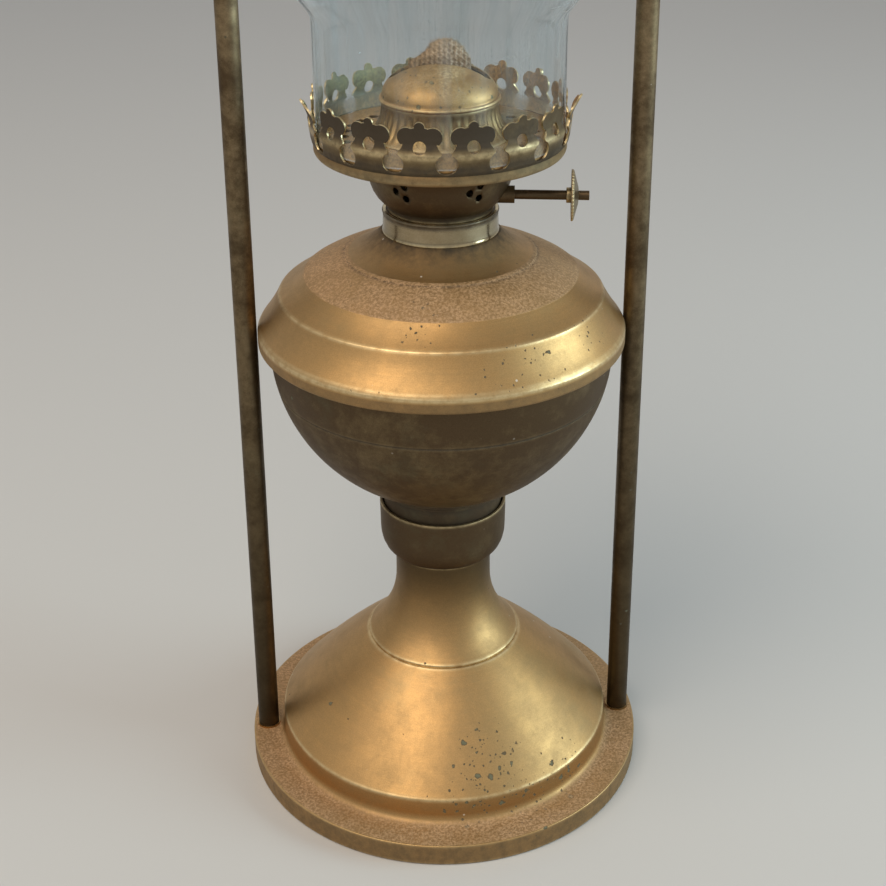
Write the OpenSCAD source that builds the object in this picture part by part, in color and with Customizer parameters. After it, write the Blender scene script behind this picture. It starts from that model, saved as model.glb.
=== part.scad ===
// Brass oil lantern: spun foot, waisted stem, round stepped reservoir, flat-wick
// burner with a pierced coronet, glass chimney, two tubular uprights, canopy and bail.
// Millimetres, +Z up, origin at the centre of the felt that it stands on.
// The uprights stand on the X axis, and the wick's spindle leaves towards +X.

/* [Foot] */
// Radius of the foot's rim
base_r = 88; // [78:0.5:110]
// How far in from the rim the axis of each upright stands
upright_in = 6.8; // [6.4:0.1:10]
// Height of the shelf that the uprights stand on
shelf_z = 9.8; // [9.2:0.1:14]
// Thickness of the spun brass sheet
sheet = 1.2; // [0.9:0.05:1.5]
// How far in from the uprights' axes the sharp ridge round the dome lies
ridge_in = 7.6; // [7.2:0.1:20]
// Height of the ridge above the shelf
ridge_rise = 11.2; // [6:0.1:16]
// Height of the dome, from the ridge to the stem
dome_rise = 37.9; // [28:0.1:50]
// How far the dome bows out from a straight cone
dome_bow = 1.2; // [0:0.1:3]
// Width of the rim's turned-in hem
hem_w = 6; // [4:0.5:9]
// Thickness of the felt
felt_t = 1.6; // [1.5:0.1:2.3]
// Thickness of the disc that closes the foot
plate_t = 1.2; // [0.8:0.1:1.8]
// How far in from the dome's ridge the cast weight ends
weight_in = 3.6; // [2.6:0.1:20]
// Inner radius of the cast weight
weight_bore = 22; // [12:1:40]
// Height of the cast weight
weight_h = 12; // [6:0.5:15]

/* [Stem] */
// Radius of the stem's flared foot
stem_foot_r = 33.4; // [29:0.1:38]
// Height of the foot's thin edge
stem_edge = 0.8; // [0.4:0.1:1.5]
// Slope of the flare where it leaves the foot, in degrees
flare_slope = 43; // [30:1:55]
// Radius of the neck
neck_r = 20.8; // [17:0.1:23]
// Height of the straight neck above the flare
neck_h = 12.8; // [6:0.1:24]
// Radius of the cup at its rim
cup_r = 27.5; // [25.5:0.1:31]
// Height of the cup
cup_h = 24.4; // [20:0.1:34]
// Radius of the tie rod through the stem
tie_r = 5; // [4:0.1:6]

/* [Reservoir] */
// How far in from the lip the round bowl lies
bowl_in = 4.7; // [3.4:0.1:12]
// Height of the bowl's lowest point above the cup's rim
bowl_over = 4.5; // [3:0.1:10]
// Height of the lip's upright band
lip_h = 6.6; // [4:0.1:9]
// How far in from the lip the first ridge lies
step_in = 9.3; // [6.3:0.1:14]
// Height of the first ridge above the lip's band
step_rise = 14.4; // [11:0.1:18]
// How far in from the first ridge the second one lies
ledge_in = 11; // [7:0.1:15]
// Height of the second ridge above the first
ledge_rise = 8.2; // [5:0.1:12]
// How far in from the second ridge the line round the shoulder lies
line_in = 16.4; // [12:0.1:20]
// Height of that line above the second ridge
line_rise = 7.6; // [5:0.1:11]
// Height of the mouth above the line
mouth_rise = 9.8; // [6:0.1:14]

/* [Collar and burner] */
// Wall of the screw collar
collar_wall = 1.5; // [1:0.1:2.5]
// Height of the screw collar
collar_h = 9.4; // [8:0.1:13]
// Radius of the collar's thread
thread_r = 22.1; // [21.6:0.05:22.2]
// Rise of the burner for one turn
thread_pitch = 2; // [1:0.25:3]
// Height of the basket's waist
waist_h = 1.7; // [1:0.1:4]
// How far the basket bulges out past its waist
basket_bulge = 7.8; // [6:0.1:9]
// Height of the bulge
basket_bulge_h = 14.3; // [14:0.1:18]
// Height of the flare above the bulge
flare_h = 10.9; // [9:0.1:14]
// Thickness of the burner's thin brass
thin = 0.8; // [0.5:0.05:1]
// Clusters of air holes round the basket
cluster_n = 6; // [4:1:8]
// Radius of one air hole
air_hole_r = 1.5; // [0.8:0.1:1.8]
// Radius of the gallery's rolled rim, across the roll
roll_r = 2.9; // [2.4:0.1:3.2]
// Number of petals
petal_n = 16; // [12:1:17]
// Height of the coronet above the rim
coronet_h = 19.6; // [17.5:0.1:24]
// How far the coronet bulges past the glass
bulge = 2.4; // [2.2:0.1:4]
// Radius of the round foot of the drop between two petals
drop_r = 4.2; // [3:0.1:4.6]
// Radius of the hole in a petal
petal_hole_r = 2.5; // [1.5:0.1:3]
// Radius of the flame dome at its bead
dome_r = 23.2; // [21:0.1:25]
// Height of the flame dome above its bead
flame_dome_h = 13.2; // [11:0.1:17]
// Height of the fluted skirt
bell_h = 14.2; // [12:0.1:18]
// Radius of the skirt's foot
bell_foot_r = 28.5; // [26:0.1:32]
// Length of the slot in the flame dome
slot_l = 40; // [30:0.5:42]
// Width of the slot in the flame dome
slot_w = 6.6; // [4:0.1:8]

/* [Wick and its raiser] */
// Width of the wick
wick_w = 24.6; // [18:0.1:25]
// Thickness of the wick
wick_t = 2.2; // [1.6:0.1:2.6]
// Height of the wick's crown above the flame dome
wick_show = 9.6; // [6:0.1:14]
// Length of wick that hangs in the reservoir below the collar
wick_tail = 96; // [60:1:98]
// Radius of the spindle
spindle_r = 1.9; // [1.4:0.05:2.1]
// Distance from the axis to the end of the spindle
spindle_reach = 59.5; // [57:0.5:62]
// Height of the spindle above the collar's rim
spindle_rise = 8; // [7.4:0.1:9.6]
// Turn of the wick and its spindle from the uprights towards the front, in degrees
wick_turn = 8; // [0:0.5:20]
// Radius of the star wheels
wheel_r = 5.6; // [5:0.1:6]
// Teeth on a star wheel
wheel_teeth = 10; // [8:1:14]
// Radius of the knob
knob_r = 10.3; // [7:0.1:10.5]
// Distance from the axis to the knob
knob_x = 54; // [52.5:0.5:56]

/* [Chimney] */
// Outer radius of the chimney's straight neck
glass_r = 49.6; // [48.5:0.1:49.8]
// Thickness of the glass
glass_t = 1.6; // [1.2:0.1:2.4]
// Height of the straight neck above its seat
glass_neck_h = 47.7; // [40:0.1:60]
// Radius of the hollow turn from the neck into the ball
neck_turn_r = 5; // [2:0.5:12]
// Outer radius of the ball
ball_r = 66; // [60:0.1:70]
// Outer radius of the chimney's top
flue_r = 31.5; // [26:0.1:36]
// Height of the straight top
flue_h = 18; // [10:0.5:30]
// Angle up the ball at which it turns in to the top
ball_top_angle = 48; // [42:1:54]

/* [Uprights and canopy] */
// Outer radius of an upright's tube
tube_r = 4.6; // [4:0.05:4.6]
// Wall of the tube
tube_wall = 1; // [0.8:0.1:1.4]
// Length of an upright
upright_l = 478; // [474:1:520]
// Radius of the stud in each tube
stud_r = 2.5; // [2:0.1:3]
// Depth of the canopy's rim band
canopy_band = 8; // [5:0.5:12]
// Height of the canopy's step
canopy_step = 10; // [7:0.5:14]
// Height of the canopy's dome above its step
canopy_rise = 21; // [16:0.5:28]
// How far in from the ears the canopy's vent begins
vent_in = 18.2; // [17.8:0.1:24]
// Height of the vent collar
vent_h = 16; // [12:0.5:22]
// How far the smoke cap reaches past the vent
cap_over = 12.2; // [9:0.1:16]
// Height of the smoke cap itself
cap_h = 18; // [12:0.5:26]
// Gap between the vent collar and the smoke cap's rim
cap_gap = 8; // [5:0.5:16]
// Radius of a post
post_r = 2.6; // [2:0.1:3.2]

/* [Bail] */
// How far in from the canopy's ridge each ear stands
ear_in = 9.6; // [8.6:0.1:13]
// Height of the pivot above the canopy's dome
pivot_rise = 9; // [8:0.5:14]
// Radius of the bail's wire
wire_r = 2; // [1.5:0.1:2.3]
// Radius of the bail's rounded corners
bail_corner_r = 42; // [30:1:50]

/* [Hidden] */

brass = "#a98d4f";
pale_brass = "#c9b889";
bronze = "#6f6142";
steel = "#8b8d8e";
iron = "#4b4a48";
felt_green = "#2f4a37";
cotton = "#d8cbb0";
cork = "#9a7a52";
clear_glass = [0.75, 0.85, 0.88, 0.35];

round_n = 96;
small_n = 32;
// Running fit of a shaft or a thread
run = 0.05;
// Gap between curved pieces that don't touch
clear = 0.3;
// Length by which a cut runs past the faces that it goes through
over = 1;

// Plan of the whole lantern, from the rim inwards
upright_x = base_r - upright_in;
ridge_r = upright_x - ridge_in;
lip_r = upright_x - tube_r - clear;
bowl_r = lip_r - bowl_in;
step_r = lip_r - step_in;
ledge_r = step_r - ledge_in;
line_r = ledge_r - line_in;
ear_x = ridge_r - ear_in;
vent_r = ear_x - vent_in;
weight_r = ridge_r - weight_in;

// Foot
hem_z = felt_t - sheet;
cove_r = 2.2;
wall_r = ridge_r + 0.3;
ridge_z = shelf_z + ridge_rise;
seat_z = ridge_z + dome_rise;
seat_r = stem_foot_r + 0.5;
plate_z = felt_t;
plate_r = base_r - sheet - clear;
weight_z = plate_z + plate_t;

// Stem and cup
flare_r = (stem_foot_r - neck_r) / (1 - sin(flare_slope));
flare_z = seat_z + stem_edge + flare_r * cos(flare_slope);
cup_z = flare_z + neck_h;
cup_rim_z = cup_z + cup_h;
cup_round = cup_r - neck_r - 0.2;
cup_gap = 0.7;
boss_r = cup_r - sheet - cup_gap;
cup_round_h = 11;

// Reservoir
bowl_z = cup_rim_z + bowl_over + bowl_r;
lip_z = bowl_z + 0.9;
step_z = lip_z + lip_h + step_rise;
ledge_z = step_z + ledge_rise;
line_z = ledge_z + line_rise;
mouth_z = line_z + mouth_rise;
collar_r = thread_r + collar_wall;
mouth_r = collar_r + 0.5;
throat_r = thread_r - 1.7;
bowl_top_z = lip_z + 2.4;
boss_shoulder_z = cup_z + 12;
boss_top_r = boss_r + 2.4;
boss_ring_h = 1.2;
boss_top_z = bowl_z - sqrt(bowl_r * bowl_r - boss_top_r * boss_top_r);

// Tie rod
tie_nut_h = 8;
tie_washer_t = 1.2;
tie_washer_r = 16;
tie_washer_z = seat_z - sheet - tie_washer_t;
tie_nut_z = tie_washer_z - tie_nut_h;
tie_z = tie_nut_z - 3;
tie_top_z = boss_top_z - 8;

// Collar and burner
collar_z = mouth_z;
collar_top_z = collar_z + collar_h;
gasket_z = collar_z + 1.5;
gasket_t = 1;
plug_z = gasket_z + gasket_t;
plug_wall = 2.2;
plug_floor_t = 1.6;
plug_top_z = collar_top_z - 0.4;
waist_top_z = plug_top_z + waist_h;
bulge_top_z = waist_top_z + basket_bulge_h;
basket_top_z = bulge_top_z + flare_h;
rim_r = glass_r + 0.8;
roll_x = rim_r - roll_r;
roll_z = basket_top_z + 0.2;
waist_r = thread_r - 0.9;
basket_wall_r = waist_r + basket_bulge;
basket_r = roll_x - roll_r - clear;
hole_z = bulge_top_z - 1.4;
cluster_turn = -96.6;
gallery_z = roll_z + roll_r;
gallery_t = 0.8;
glass_z = gallery_z + gallery_t;
bulge_r = glass_r + bulge;
coronet_top_z = gallery_z + coronet_h;
petal_pitch = 360 / petal_n;
half_petal = PI * (bulge_r - 0.5) / petal_n;
petal_turn = -91.3;
drop_h = 3.7;
bell_z = glass_z;
bell_top_z = bell_z + bell_h;
dome_bead_r = 0.9;
dome_top_z = bell_top_z + 2 * dome_bead_r + flame_dome_h;

// Wick and its raiser
tube_in_w = wick_w + 1;
tube_in_t = wick_t + 0.8;
tube_wall_t = 0.8;
wick_tube_z = plug_z - 6;
wick_tube_top_z = bell_top_z + 4;
wick_z = collar_z - wick_tail;
wick_top_z = dome_top_z + wick_show;
wick_shoulder_z = dome_top_z + 0.6;
spindle_z = collar_top_z + spindle_rise;
spindle_y = -(wick_t / 2 + clear + wheel_r);
wheel_w = 2.4;
bracket_t = 1.2;
bracket_x = (tube_in_w - tube_in_t - bracket_t) / 2 - 0.6;
wheel_x = bracket_x - 3.3;
spindle_start = -bracket_x - 2;
gland_x = 21;
gland_l = 9;
crown_lean = 1.5;
// Steps of the wick's burnt crown: share of its height, and share of its width that is left there
crown_steps = [[0, 1], [0.25, 0.8], [0.45, 0.6], [0.55, 0.56], [0.75, 0.53], [0.87, 0.42], [1, 0.12]];

// Chimney
neck_top_z = glass_z + glass_neck_h;
ball_angle = acos((glass_r + neck_turn_r) / (ball_r + neck_turn_r));
ball_z = neck_top_z + (ball_r + neck_turn_r) * sin(ball_angle);
turn_r = (ball_r * cos(ball_top_angle) - flue_r) / (1 - cos(ball_top_angle));
turn_z = ball_z + ball_r * sin(ball_top_angle) + turn_r * sin(ball_top_angle);
flue_top_z = turn_z + flue_h;

// Uprights and canopy
tube_top_z = shelf_z + upright_l;
canopy_z = tube_top_z + sheet;
canopy_ridge_z = canopy_z + canopy_step;
vent_z = canopy_ridge_z + canopy_rise;
foot_nut_h = 3.2;
foot_nut_r = 4.6;
acorn_r = 5;
acorn_h = 5;
acorn_dome_r = 4.2;
washer_t = 1;
washer_r = tube_r + 0.6;
foot_washer_z = shelf_z - sheet - washer_t;
foot_nut_z = foot_washer_z - foot_nut_h;
stud_z = foot_nut_z - 0.8;
stud_top_z = canopy_z + 8;
vent_collar_z = vent_z - 5;
cap_z = vent_collar_z + vent_h + cap_gap;
cap_r = vent_r + cap_over;
post_x = vent_r + post_r + 2.6;
post_screw_r = 1.5;
screw_grip = 5.6;
screw_hole_l = 6;
screw_head_r = 3.6;
screw_head_sink = 1.6;

// Bail
canopy_slope = canopy_rise / (ridge_r - vent_r);
ear_foot_z = canopy_ridge_z + (ridge_r - ear_x) * canopy_slope;
pivot_z = ear_foot_z + pivot_rise;
ear_t = 1.6;
ear_w = 13;
ear_tab_l = 11;
ear_tab_w = ear_w - 1;
ear_tab_t = 1.4;
ear_angle = atan(canopy_slope);
rivet_r = 2;
rivet_in = 7;
rivet_y = 3.6;
leg_x = ear_x + ear_t / 2 + clear + wire_r;
bar_y = (wall_r + cove_r + base_r) / 2;
bar_z = canopy_z + wire_r + clear;
bail_reach = norm([bar_y, pivot_z - bar_z]);
bail_tilt = atan2(pivot_z - bar_z, bar_y);

function unit(v) = v / norm(v);
function left_of(a, b) = let (d = unit(b - a)) [-d[1], d[0]];
// One point of the inner face of a sheet whose outer face is the line p
function inner_point(p, i, t) =
    let (
        last = len(p) - 1,
        before = left_of(p[max(i - 1, 0)], p[max(i, 1)]),
        after = left_of(p[min(i, last - 1)], p[min(i + 1, last)]),
        mid = unit(before + after)
    )
    p[i] + mid * t / (mid * after);
function inner_line(p, t) = [for (i = [0:len(p) - 1]) inner_point(p, i, t)];
function reversed(p) = [for (i = [len(p) - 1:-1:0]) p[i]];
// Points of an arc from angle a0 to angle a1
function arc(c, r, a0, a1, n) =
    [for (i = [0:n]) let (a = a0 + (a1 - a0) * i / n) c + r * [cos(a), sin(a)]];
// Points of a straight line from a to b that bows out to its right by h
function bowed(a, b, h, n) =
    [for (i = [0:n]) let (t = i / n) a + (b - a) * t - left_of(a, b) * 4 * h * t * (1 - t)];

// A spun sheet: p is its outer face, and the sheet lies to the left of it
module spun(p, t) {
    rotate_extrude($fn = round_n)
        polygon(concat(p, reversed(inner_line(p, t))));
}

module ring(r_out, r_in, z, h, n = round_n) {
    translate([0, 0, z])
        difference() {
            cylinder(r = r_out, h = h, $fn = n);
            translate([0, 0, -over])
                cylinder(r = r_in, h = h + 2 * over, $fn = n);
        }
}

module rod_x(r, x0, x1, n = small_n) {
    translate([x0, 0, 0])
        rotate([0, 90, 0])
            cylinder(r = r, h = x1 - x0, $fn = n);
}

module at_uprights() {
    for (side = [-1, 1])
        translate([side * upright_x, 0, 0])
            children();
}

// Turns what belongs to the wick and its spindle
module with_wick() {
    rotate([0, 0, -wick_turn])
        children();
}

module hex_nut(r, bore, z, h) {
    translate([0, 0, z])
        difference() {
            cylinder(r = r, h = h, $fn = 6);
            translate([0, 0, -over])
                cylinder(r = bore, h = h + 2 * over, $fn = small_n);
        }
}

function base_line() = concat(
    [[base_r - hem_w, hem_z], [base_r, hem_z], [base_r, shelf_z], [wall_r + cove_r, shelf_z]],
    arc([wall_r + cove_r, shelf_z + cove_r], cove_r, 260, 180, 4),
    bowed([ridge_r, ridge_z], [seat_r, seat_z], dome_bow, 10),
    [[tie_r + 0.6, seat_z]]
);

module base_shell() {
    color(brass)
        difference() {
            spun(base_line(), sheet);
            at_uprights()
                translate([0, 0, shelf_z - sheet - over])
                    cylinder(r = stud_r + 0.2, h = sheet + 2 * over, $fn = small_n);
        }
}

module base_weight() {
    color(iron)
        ring(weight_r, weight_bore, weight_z, weight_h);
}

module bottom_plate() {
    color(steel)
        translate([0, 0, plate_z])
            cylinder(r = plate_r, h = plate_t, $fn = round_n);
}

module felt_pad() {
    color(felt_green)
        translate([0, 0, plate_z - felt_t])
            cylinder(r = base_r - hem_w - clear, h = felt_t, $fn = round_n);
}

function stem_line() = concat(
    [[stem_foot_r, seat_z]],
    arc([neck_r + flare_r, flare_z], flare_r, 270 - flare_slope, 180, 12),
    [[neck_r, cup_z]]
);

module stem() {
    color(brass)
        spun(stem_line(), sheet);
}

function cup_line() = concat(
    [[tie_r + 0.4, cup_z], [neck_r - 0.6, cup_z]],
    [for (i = [1:7]) let (a = 90 * i / 7)
        [neck_r + cup_round * sin(a), cup_z + cup_round_h * (1 - cos(a))]],
    [[cup_r, cup_rim_z]]
);

module stem_cup() {
    color(brass)
        spun(cup_line(), sheet);
}

module tie_rod() {
    color(steel)
        translate([0, 0, tie_z])
            cylinder(r = tie_r, h = tie_top_z - tie_z, $fn = small_n);
}

module tie_washer() {
    color(steel)
        ring(tie_washer_r, tie_r + 0.3, tie_washer_z, tie_washer_t);
}

module tie_nut() {
    color(steel)
        hex_nut(2 * tie_r, tie_r + run, tie_nut_z, tie_nut_h);
}

module upright() {
    ring(tube_r, tube_r - tube_wall, shelf_z, upright_l, small_n);
}

module upright_left() {
    color(bronze)
        translate([-upright_x, 0, 0])
            upright();
}

module upright_right() {
    color(bronze)
        translate([upright_x, 0, 0])
            upright();
}

module upright_studs() {
    color(steel)
        at_uprights()
            translate([0, 0, stud_z])
                cylinder(r = stud_r, h = stud_top_z - stud_z, $fn = small_n);
}

module upright_ferrules() {
    color(pale_brass)
        at_uprights()
            ring(tube_r + 0.6, tube_r + run, shelf_z, 0.8, small_n);
}

module foot_washers() {
    color(steel)
        at_uprights()
            ring(washer_r, stud_r + 0.2, foot_washer_z, washer_t, small_n);
}

module foot_nuts() {
    color(steel)
        at_uprights()
            hex_nut(foot_nut_r, stud_r + run, foot_nut_z, foot_nut_h);
}

module cap_washers() {
    color(pale_brass)
        at_uprights()
            ring(washer_r, stud_r + 0.2, canopy_z, washer_t, small_n);
}

module acorn_nuts() {
    nut_z = canopy_z + washer_t;
    color(pale_brass)
        at_uprights()
            difference() {
                union() {
                    translate([0, 0, nut_z])
                        cylinder(r = acorn_r, h = acorn_h, $fn = 6);
                    translate([0, 0, nut_z + acorn_h])
                        intersection() {
                            sphere(r = acorn_dome_r, $fn = small_n);
                            cylinder(r = acorn_dome_r + over, h = acorn_dome_r + over, $fn = small_n);
                        }
                }
                translate([0, 0, nut_z - over])
                    cylinder(r = stud_r + run, h = stud_top_z - nut_z + over + 0.1, $fn = small_n);
            }
}

module bowl_ball(r) {
    translate([0, 0, bowl_z])
        sphere(r = r, $fn = round_n);
}

module reservoir_boss() {
    hub_r = tie_r + 4;
    skirt_r = boss_r - 3;
    hollow_top_z = boss_top_z - 6;
    color(brass)
        difference() {
            union() {
                translate([0, 0, cup_z + sheet])
                    cylinder(r = hub_r, h = boss_top_z - cup_z - sheet, $fn = round_n);
                ring(boss_r, skirt_r, boss_shoulder_z, boss_top_z - boss_shoulder_z);
                translate([0, 0, hollow_top_z])
                    cylinder(r = skirt_r + 0.01, h = boss_top_z - hollow_top_z, $fn = round_n);
                ring(boss_r + 0.9, skirt_r, boss_top_z - 3.2 * boss_ring_h, boss_ring_h);
                ring(boss_top_r, skirt_r, boss_top_z - 1.6 * boss_ring_h, 1.6 * boss_ring_h);
            }
            bowl_ball(bowl_r);
            translate([0, 0, cup_z])
                cylinder(r = tie_r + run, h = tie_top_z - cup_z + 0.4, $fn = small_n);
        }
}

module reservoir_bowl() {
    scribe_z = bowl_z - 17.4;
    scribe_r = sqrt(bowl_r * bowl_r - pow(bowl_z - scribe_z, 2));
    color(brass)
        difference() {
            union() {
                bowl_ball(bowl_r);
                translate([0, 0, bowl_z])
                    cylinder(r = bowl_r, h = bowl_top_z - bowl_z, $fn = round_n);
            }
            bowl_ball(bowl_r - sheet);
            translate([0, 0, bowl_z])
                cylinder(r = bowl_r - sheet, h = bowl_r, $fn = round_n);
            translate([0, 0, bowl_top_z])
                cylinder(r = bowl_r + over, h = bowl_r, $fn = round_n);
            translate([0, 0, scribe_z])
                rotate_extrude($fn = round_n)
                    translate([scribe_r + 0.35, 0])
                        circle(r = 0.6, $fn = small_n);
        }
}

function top_line() = concat(
    [[bowl_r + clear, lip_z], [lip_r - 0.6, lip_z], [lip_r, lip_z + 0.8], [lip_r, lip_z + lip_h - 0.8]],
    bowed([lip_r - 0.7, lip_z + lip_h + 0.6], [step_r, step_z], -0.5, 4),
    bowed([step_r - 0.3, step_z + 0.3], [ledge_r, ledge_z], -0.3, 3),
    bowed([ledge_r - 0.4, ledge_z + 0.2], [line_r, line_z], 0.6, 4),
    bowed([line_r - 0.5, line_z + 0.5], [mouth_r + 0.3, mouth_z], -1.4, 6),
    [[throat_r, mouth_z]]
);

module reservoir_top() {
    color(brass)
        spun(top_line(), sheet);
}

module collar() {
    color(pale_brass)
        difference() {
            union() {
                rotate_extrude($fn = round_n)
                    polygon([
                        [throat_r, collar_z],
                        [collar_r + 0.4, collar_z],
                        [collar_r, collar_z + 1.6],
                        [collar_r - 0.2, collar_top_z - 0.8],
                        [collar_r - 0.2, collar_top_z],
                        [throat_r, collar_top_z]
                    ]);
                translate([0, 0, collar_top_z - 0.6])
                    rotate_extrude($fn = round_n)
                        translate([collar_r - 0.4, 0])
                            circle(r = 0.6, $fn = small_n);
            }
            translate([0, 0, gasket_z])
                cylinder(r = thread_r, h = collar_h, $fn = round_n);
        }
}

module burner_gasket() {
    color(cork)
        ring(thread_r - clear, throat_r - 0.4, gasket_z, gasket_t);
}

module tube_outline(grow) {
    w = tube_in_w + 2 * grow;
    t = tube_in_t + 2 * grow;
    square([w - t, t], center = true);
    for (side = [-1, 1])
        translate([side * (w - t) / 2, 0])
            circle(d = t, $fn = small_n);
}

module burner_plug() {
    vent_y = thread_r / 2;
    hollow_h = plug_top_z - plug_z - plug_floor_t;
    color(bronze)
        difference() {
            translate([0, 0, plug_z])
                cylinder(r = thread_r - run, h = plug_top_z - plug_z, $fn = round_n);
            translate([0, 0, plug_z - over])
                cylinder(r = thread_r - plug_wall, h = hollow_h + over, $fn = round_n);
            with_wick() {
                translate([0, 0, plug_z])
                    linear_extrude(height = 2 * collar_h)
                        tube_outline(tube_wall_t + run);
                for (side = [-1, 1])
                    translate([0, side * vent_y, plug_z])
                        cylinder(r = air_hole_r, h = 2 * collar_h, $fn = small_n);
            }
        }
}

// The flare starts on the bulge's own last point
function basket_line() = concat(
    [[waist_r, plug_top_z], [waist_r, waist_top_z]],
    bowed([waist_r + 0.7, waist_top_z + 1], [basket_wall_r, bulge_top_z], 1.8, 6),
    [for (p = bowed([basket_wall_r, bulge_top_z], [basket_r, basket_top_z], -2.8, 6))
        if (p[0] > basket_wall_r) p]
);

// The basket's sheet lies to the left of its outer line, which runs upwards
module air_basket() {
    spread = 1.45 * air_hole_r;
    color(bronze)
        difference() {
            spun(basket_line(), thin);
            for (i = [0:cluster_n - 1])
                rotate([0, 0, cluster_turn + (i - 0.5) * 360 / cluster_n])
                    for (h = [[-1, 0], [1, 1.2], [1, -1.2]])
                        translate([0, spread * h[0], hole_z + spread * h[1]])
                            rod_x(air_hole_r, waist_r - 3, basket_r, 16);
            with_wick()
                translate([0, spindle_y, spindle_z])
                    rod_x(spindle_r + 0.4, waist_r / 2, basket_r);
        }
}

module gallery_plate() {
    hole_n = 30;
    hole_x = (bell_foot_r + roll_x) / 2;
    color(brass)
        difference() {
            ring(glass_r - 0.2, bell_foot_r - 3, gallery_z, gallery_t);
            for (i = [0:hole_n - 1])
                rotate([0, 0, i * 360 / hole_n])
                    translate([hole_x, 0, gallery_z - over])
                        cylinder(r = 2, h = gallery_t + 2 * over, $fn = 16);
        }
}

function coronet_line() = concat(
    [[roll_x + 2.3, roll_z + 1.5], [glass_r + 1.3, gallery_z + 0.1]],
    bowed([bulge_r - 0.5, gallery_z + 2.2], [bulge_r - 0.7, gallery_z + 9.6], 0.7, 3),
    [[bulge_r - 1, gallery_z + 12.2], [bulge_r - 0.4, coronet_top_z]]
);

// One petal drawn flat, with x along the rim and y up from it
module petal() {
    lobe_r = 3.6;
    tip_r = 1.95;
    foot_h = drop_h + drop_r;
    reach = half_petal - 1.45;
    difference() {
        union() {
            translate([-half_petal, -4])
                square([2 * half_petal, 4 + foot_h]);
            polygon([
                [-half_petal + 1.9, foot_h - over],
                [-half_petal + 1.9, foot_h + 0.1],
                [-half_petal + 3.6, foot_h + 3.4],
                [half_petal - 3.6, foot_h + 3.4],
                [half_petal - 1.9, foot_h + 0.1],
                [half_petal - 1.9, foot_h - over]
            ]);
            translate([-reach + lobe_r, foot_h + 3])
                square([2 * (reach - lobe_r), coronet_h - foot_h - 6]);
            for (side = [-1, 1])
                translate([side * (reach - lobe_r), coronet_h - 2.3 - lobe_r])
                    circle(r = lobe_r, $fn = small_n);
            translate([-tip_r, coronet_h - 4])
                square([2 * tip_r, 4 - tip_r]);
            translate([0, coronet_h - tip_r])
                circle(r = tip_r, $fn = small_n);
        }
        translate([0, foot_h + 2])
            circle(r = petal_hole_r, $fn = small_n);
        for (side = [-1, 1])
            translate([side * half_petal, 0]) {
                translate([0, drop_h])
                    circle(r = drop_r, $fn = small_n);
                translate([-1.9, drop_h])
                    square([3.8, foot_h]);
            }
    }
}

// Everything that is cut away round the drop between two petals
module petal_gap() {
    difference() {
        translate([-half_petal - clear, -1])
            square([2 * (half_petal + clear), coronet_h + 3]);
        for (side = [-1, 1])
            translate([side * half_petal, 0])
                petal();
    }
}

module coronet() {
    color(brass)
        union() {
            difference() {
                spun(coronet_line(), thin);
                for (i = [0:petal_n - 1])
                    rotate([0, 0, petal_turn + i * petal_pitch])
                        translate([glass_r - 10, 0, gallery_z])
                            rotate([90, 0, 90])
                                linear_extrude(height = 20)
                                    petal_gap();
            }
            translate([0, 0, roll_z])
                rotate_extrude($fn = round_n)
                    translate([roll_x, 0])
                        circle(r = roll_r, $fn = small_n);
        }
}

function bell_line() = concat(
    [[bell_foot_r, bell_z], [bell_foot_r, bell_z + 0.6]],
    bowed([bell_foot_r - 0.8, bell_z + 1.6], [dome_r, bell_top_z - 0.6], -1.4, 5),
    [[dome_r, bell_top_z]]
);

module flame_bell() {
    flute_n = 24;
    color(brass)
        difference() {
            spun(bell_line(), thin);
            for (i = [0:flute_n - 1])
                rotate([0, 0, i * 360 / flute_n])
                    translate([dome_r - 6, -0.5, bell_z + 4.4])
                        cube([14, 1, bell_h - 7]);
        }
}

function dome_line() = concat(
    [[dome_r, bell_top_z + dome_bead_r]],
    [for (i = [0:10]) let (a = 90 * i / 10)
        [(dome_r - 0.2) * cos(a), bell_top_z + 2 * dome_bead_r + flame_dome_h * sin(a)]]
);

module flame_dome() {
    color(brass)
        difference() {
            union() {
                spun([for (p = dome_line()) if (p[0] > 0.01) p], thin);
                translate([0, 0, dome_top_z - thin * 1.2])
                    cylinder(r = 4.2, h = thin, $fn = small_n);
                translate([0, 0, bell_top_z + dome_bead_r])
                    rotate_extrude($fn = round_n)
                        translate([dome_r, 0])
                            circle(r = dome_bead_r, $fn = small_n);
            }
            with_wick()
                translate([-slot_l / 2, -slot_w / 2, bell_top_z + 4])
                    cube([slot_l, slot_w, 2 * flame_dome_h]);
        }
}

module wick_tube() {
    window_w = wheel_w + 1;
    window_h = 2 * wheel_r + 2;
    color(bronze)
        with_wick()
            difference() {
                translate([0, 0, wick_tube_z])
                    linear_extrude(height = wick_tube_top_z - wick_tube_z)
                        difference() {
                            tube_outline(tube_wall_t);
                            tube_outline(0);
                        }
                for (side = [-1, 1])
                    translate([side * wheel_x - window_w / 2, spindle_y, spindle_z - window_h / 2])
                        cube([window_w, -spindle_y, window_h]);
            }
}

module spindle_brackets() {
    front_y = -tube_in_t / 2 - tube_wall_t;
    bracket_h = 8;
    bracket_y = spindle_y - spindle_r - 1.8;
    color(bronze)
        with_wick()
            for (side = [-1, 1])
                difference() {
                    translate([side * bracket_x - bracket_t / 2, bracket_y, spindle_z - bracket_h / 2])
                        cube([bracket_t, front_y - bracket_y, bracket_h]);
                    translate([0, spindle_y, spindle_z])
                        rod_x(spindle_r + run, side * bracket_x - bracket_t, side * bracket_x + bracket_t);
                }
}

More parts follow.
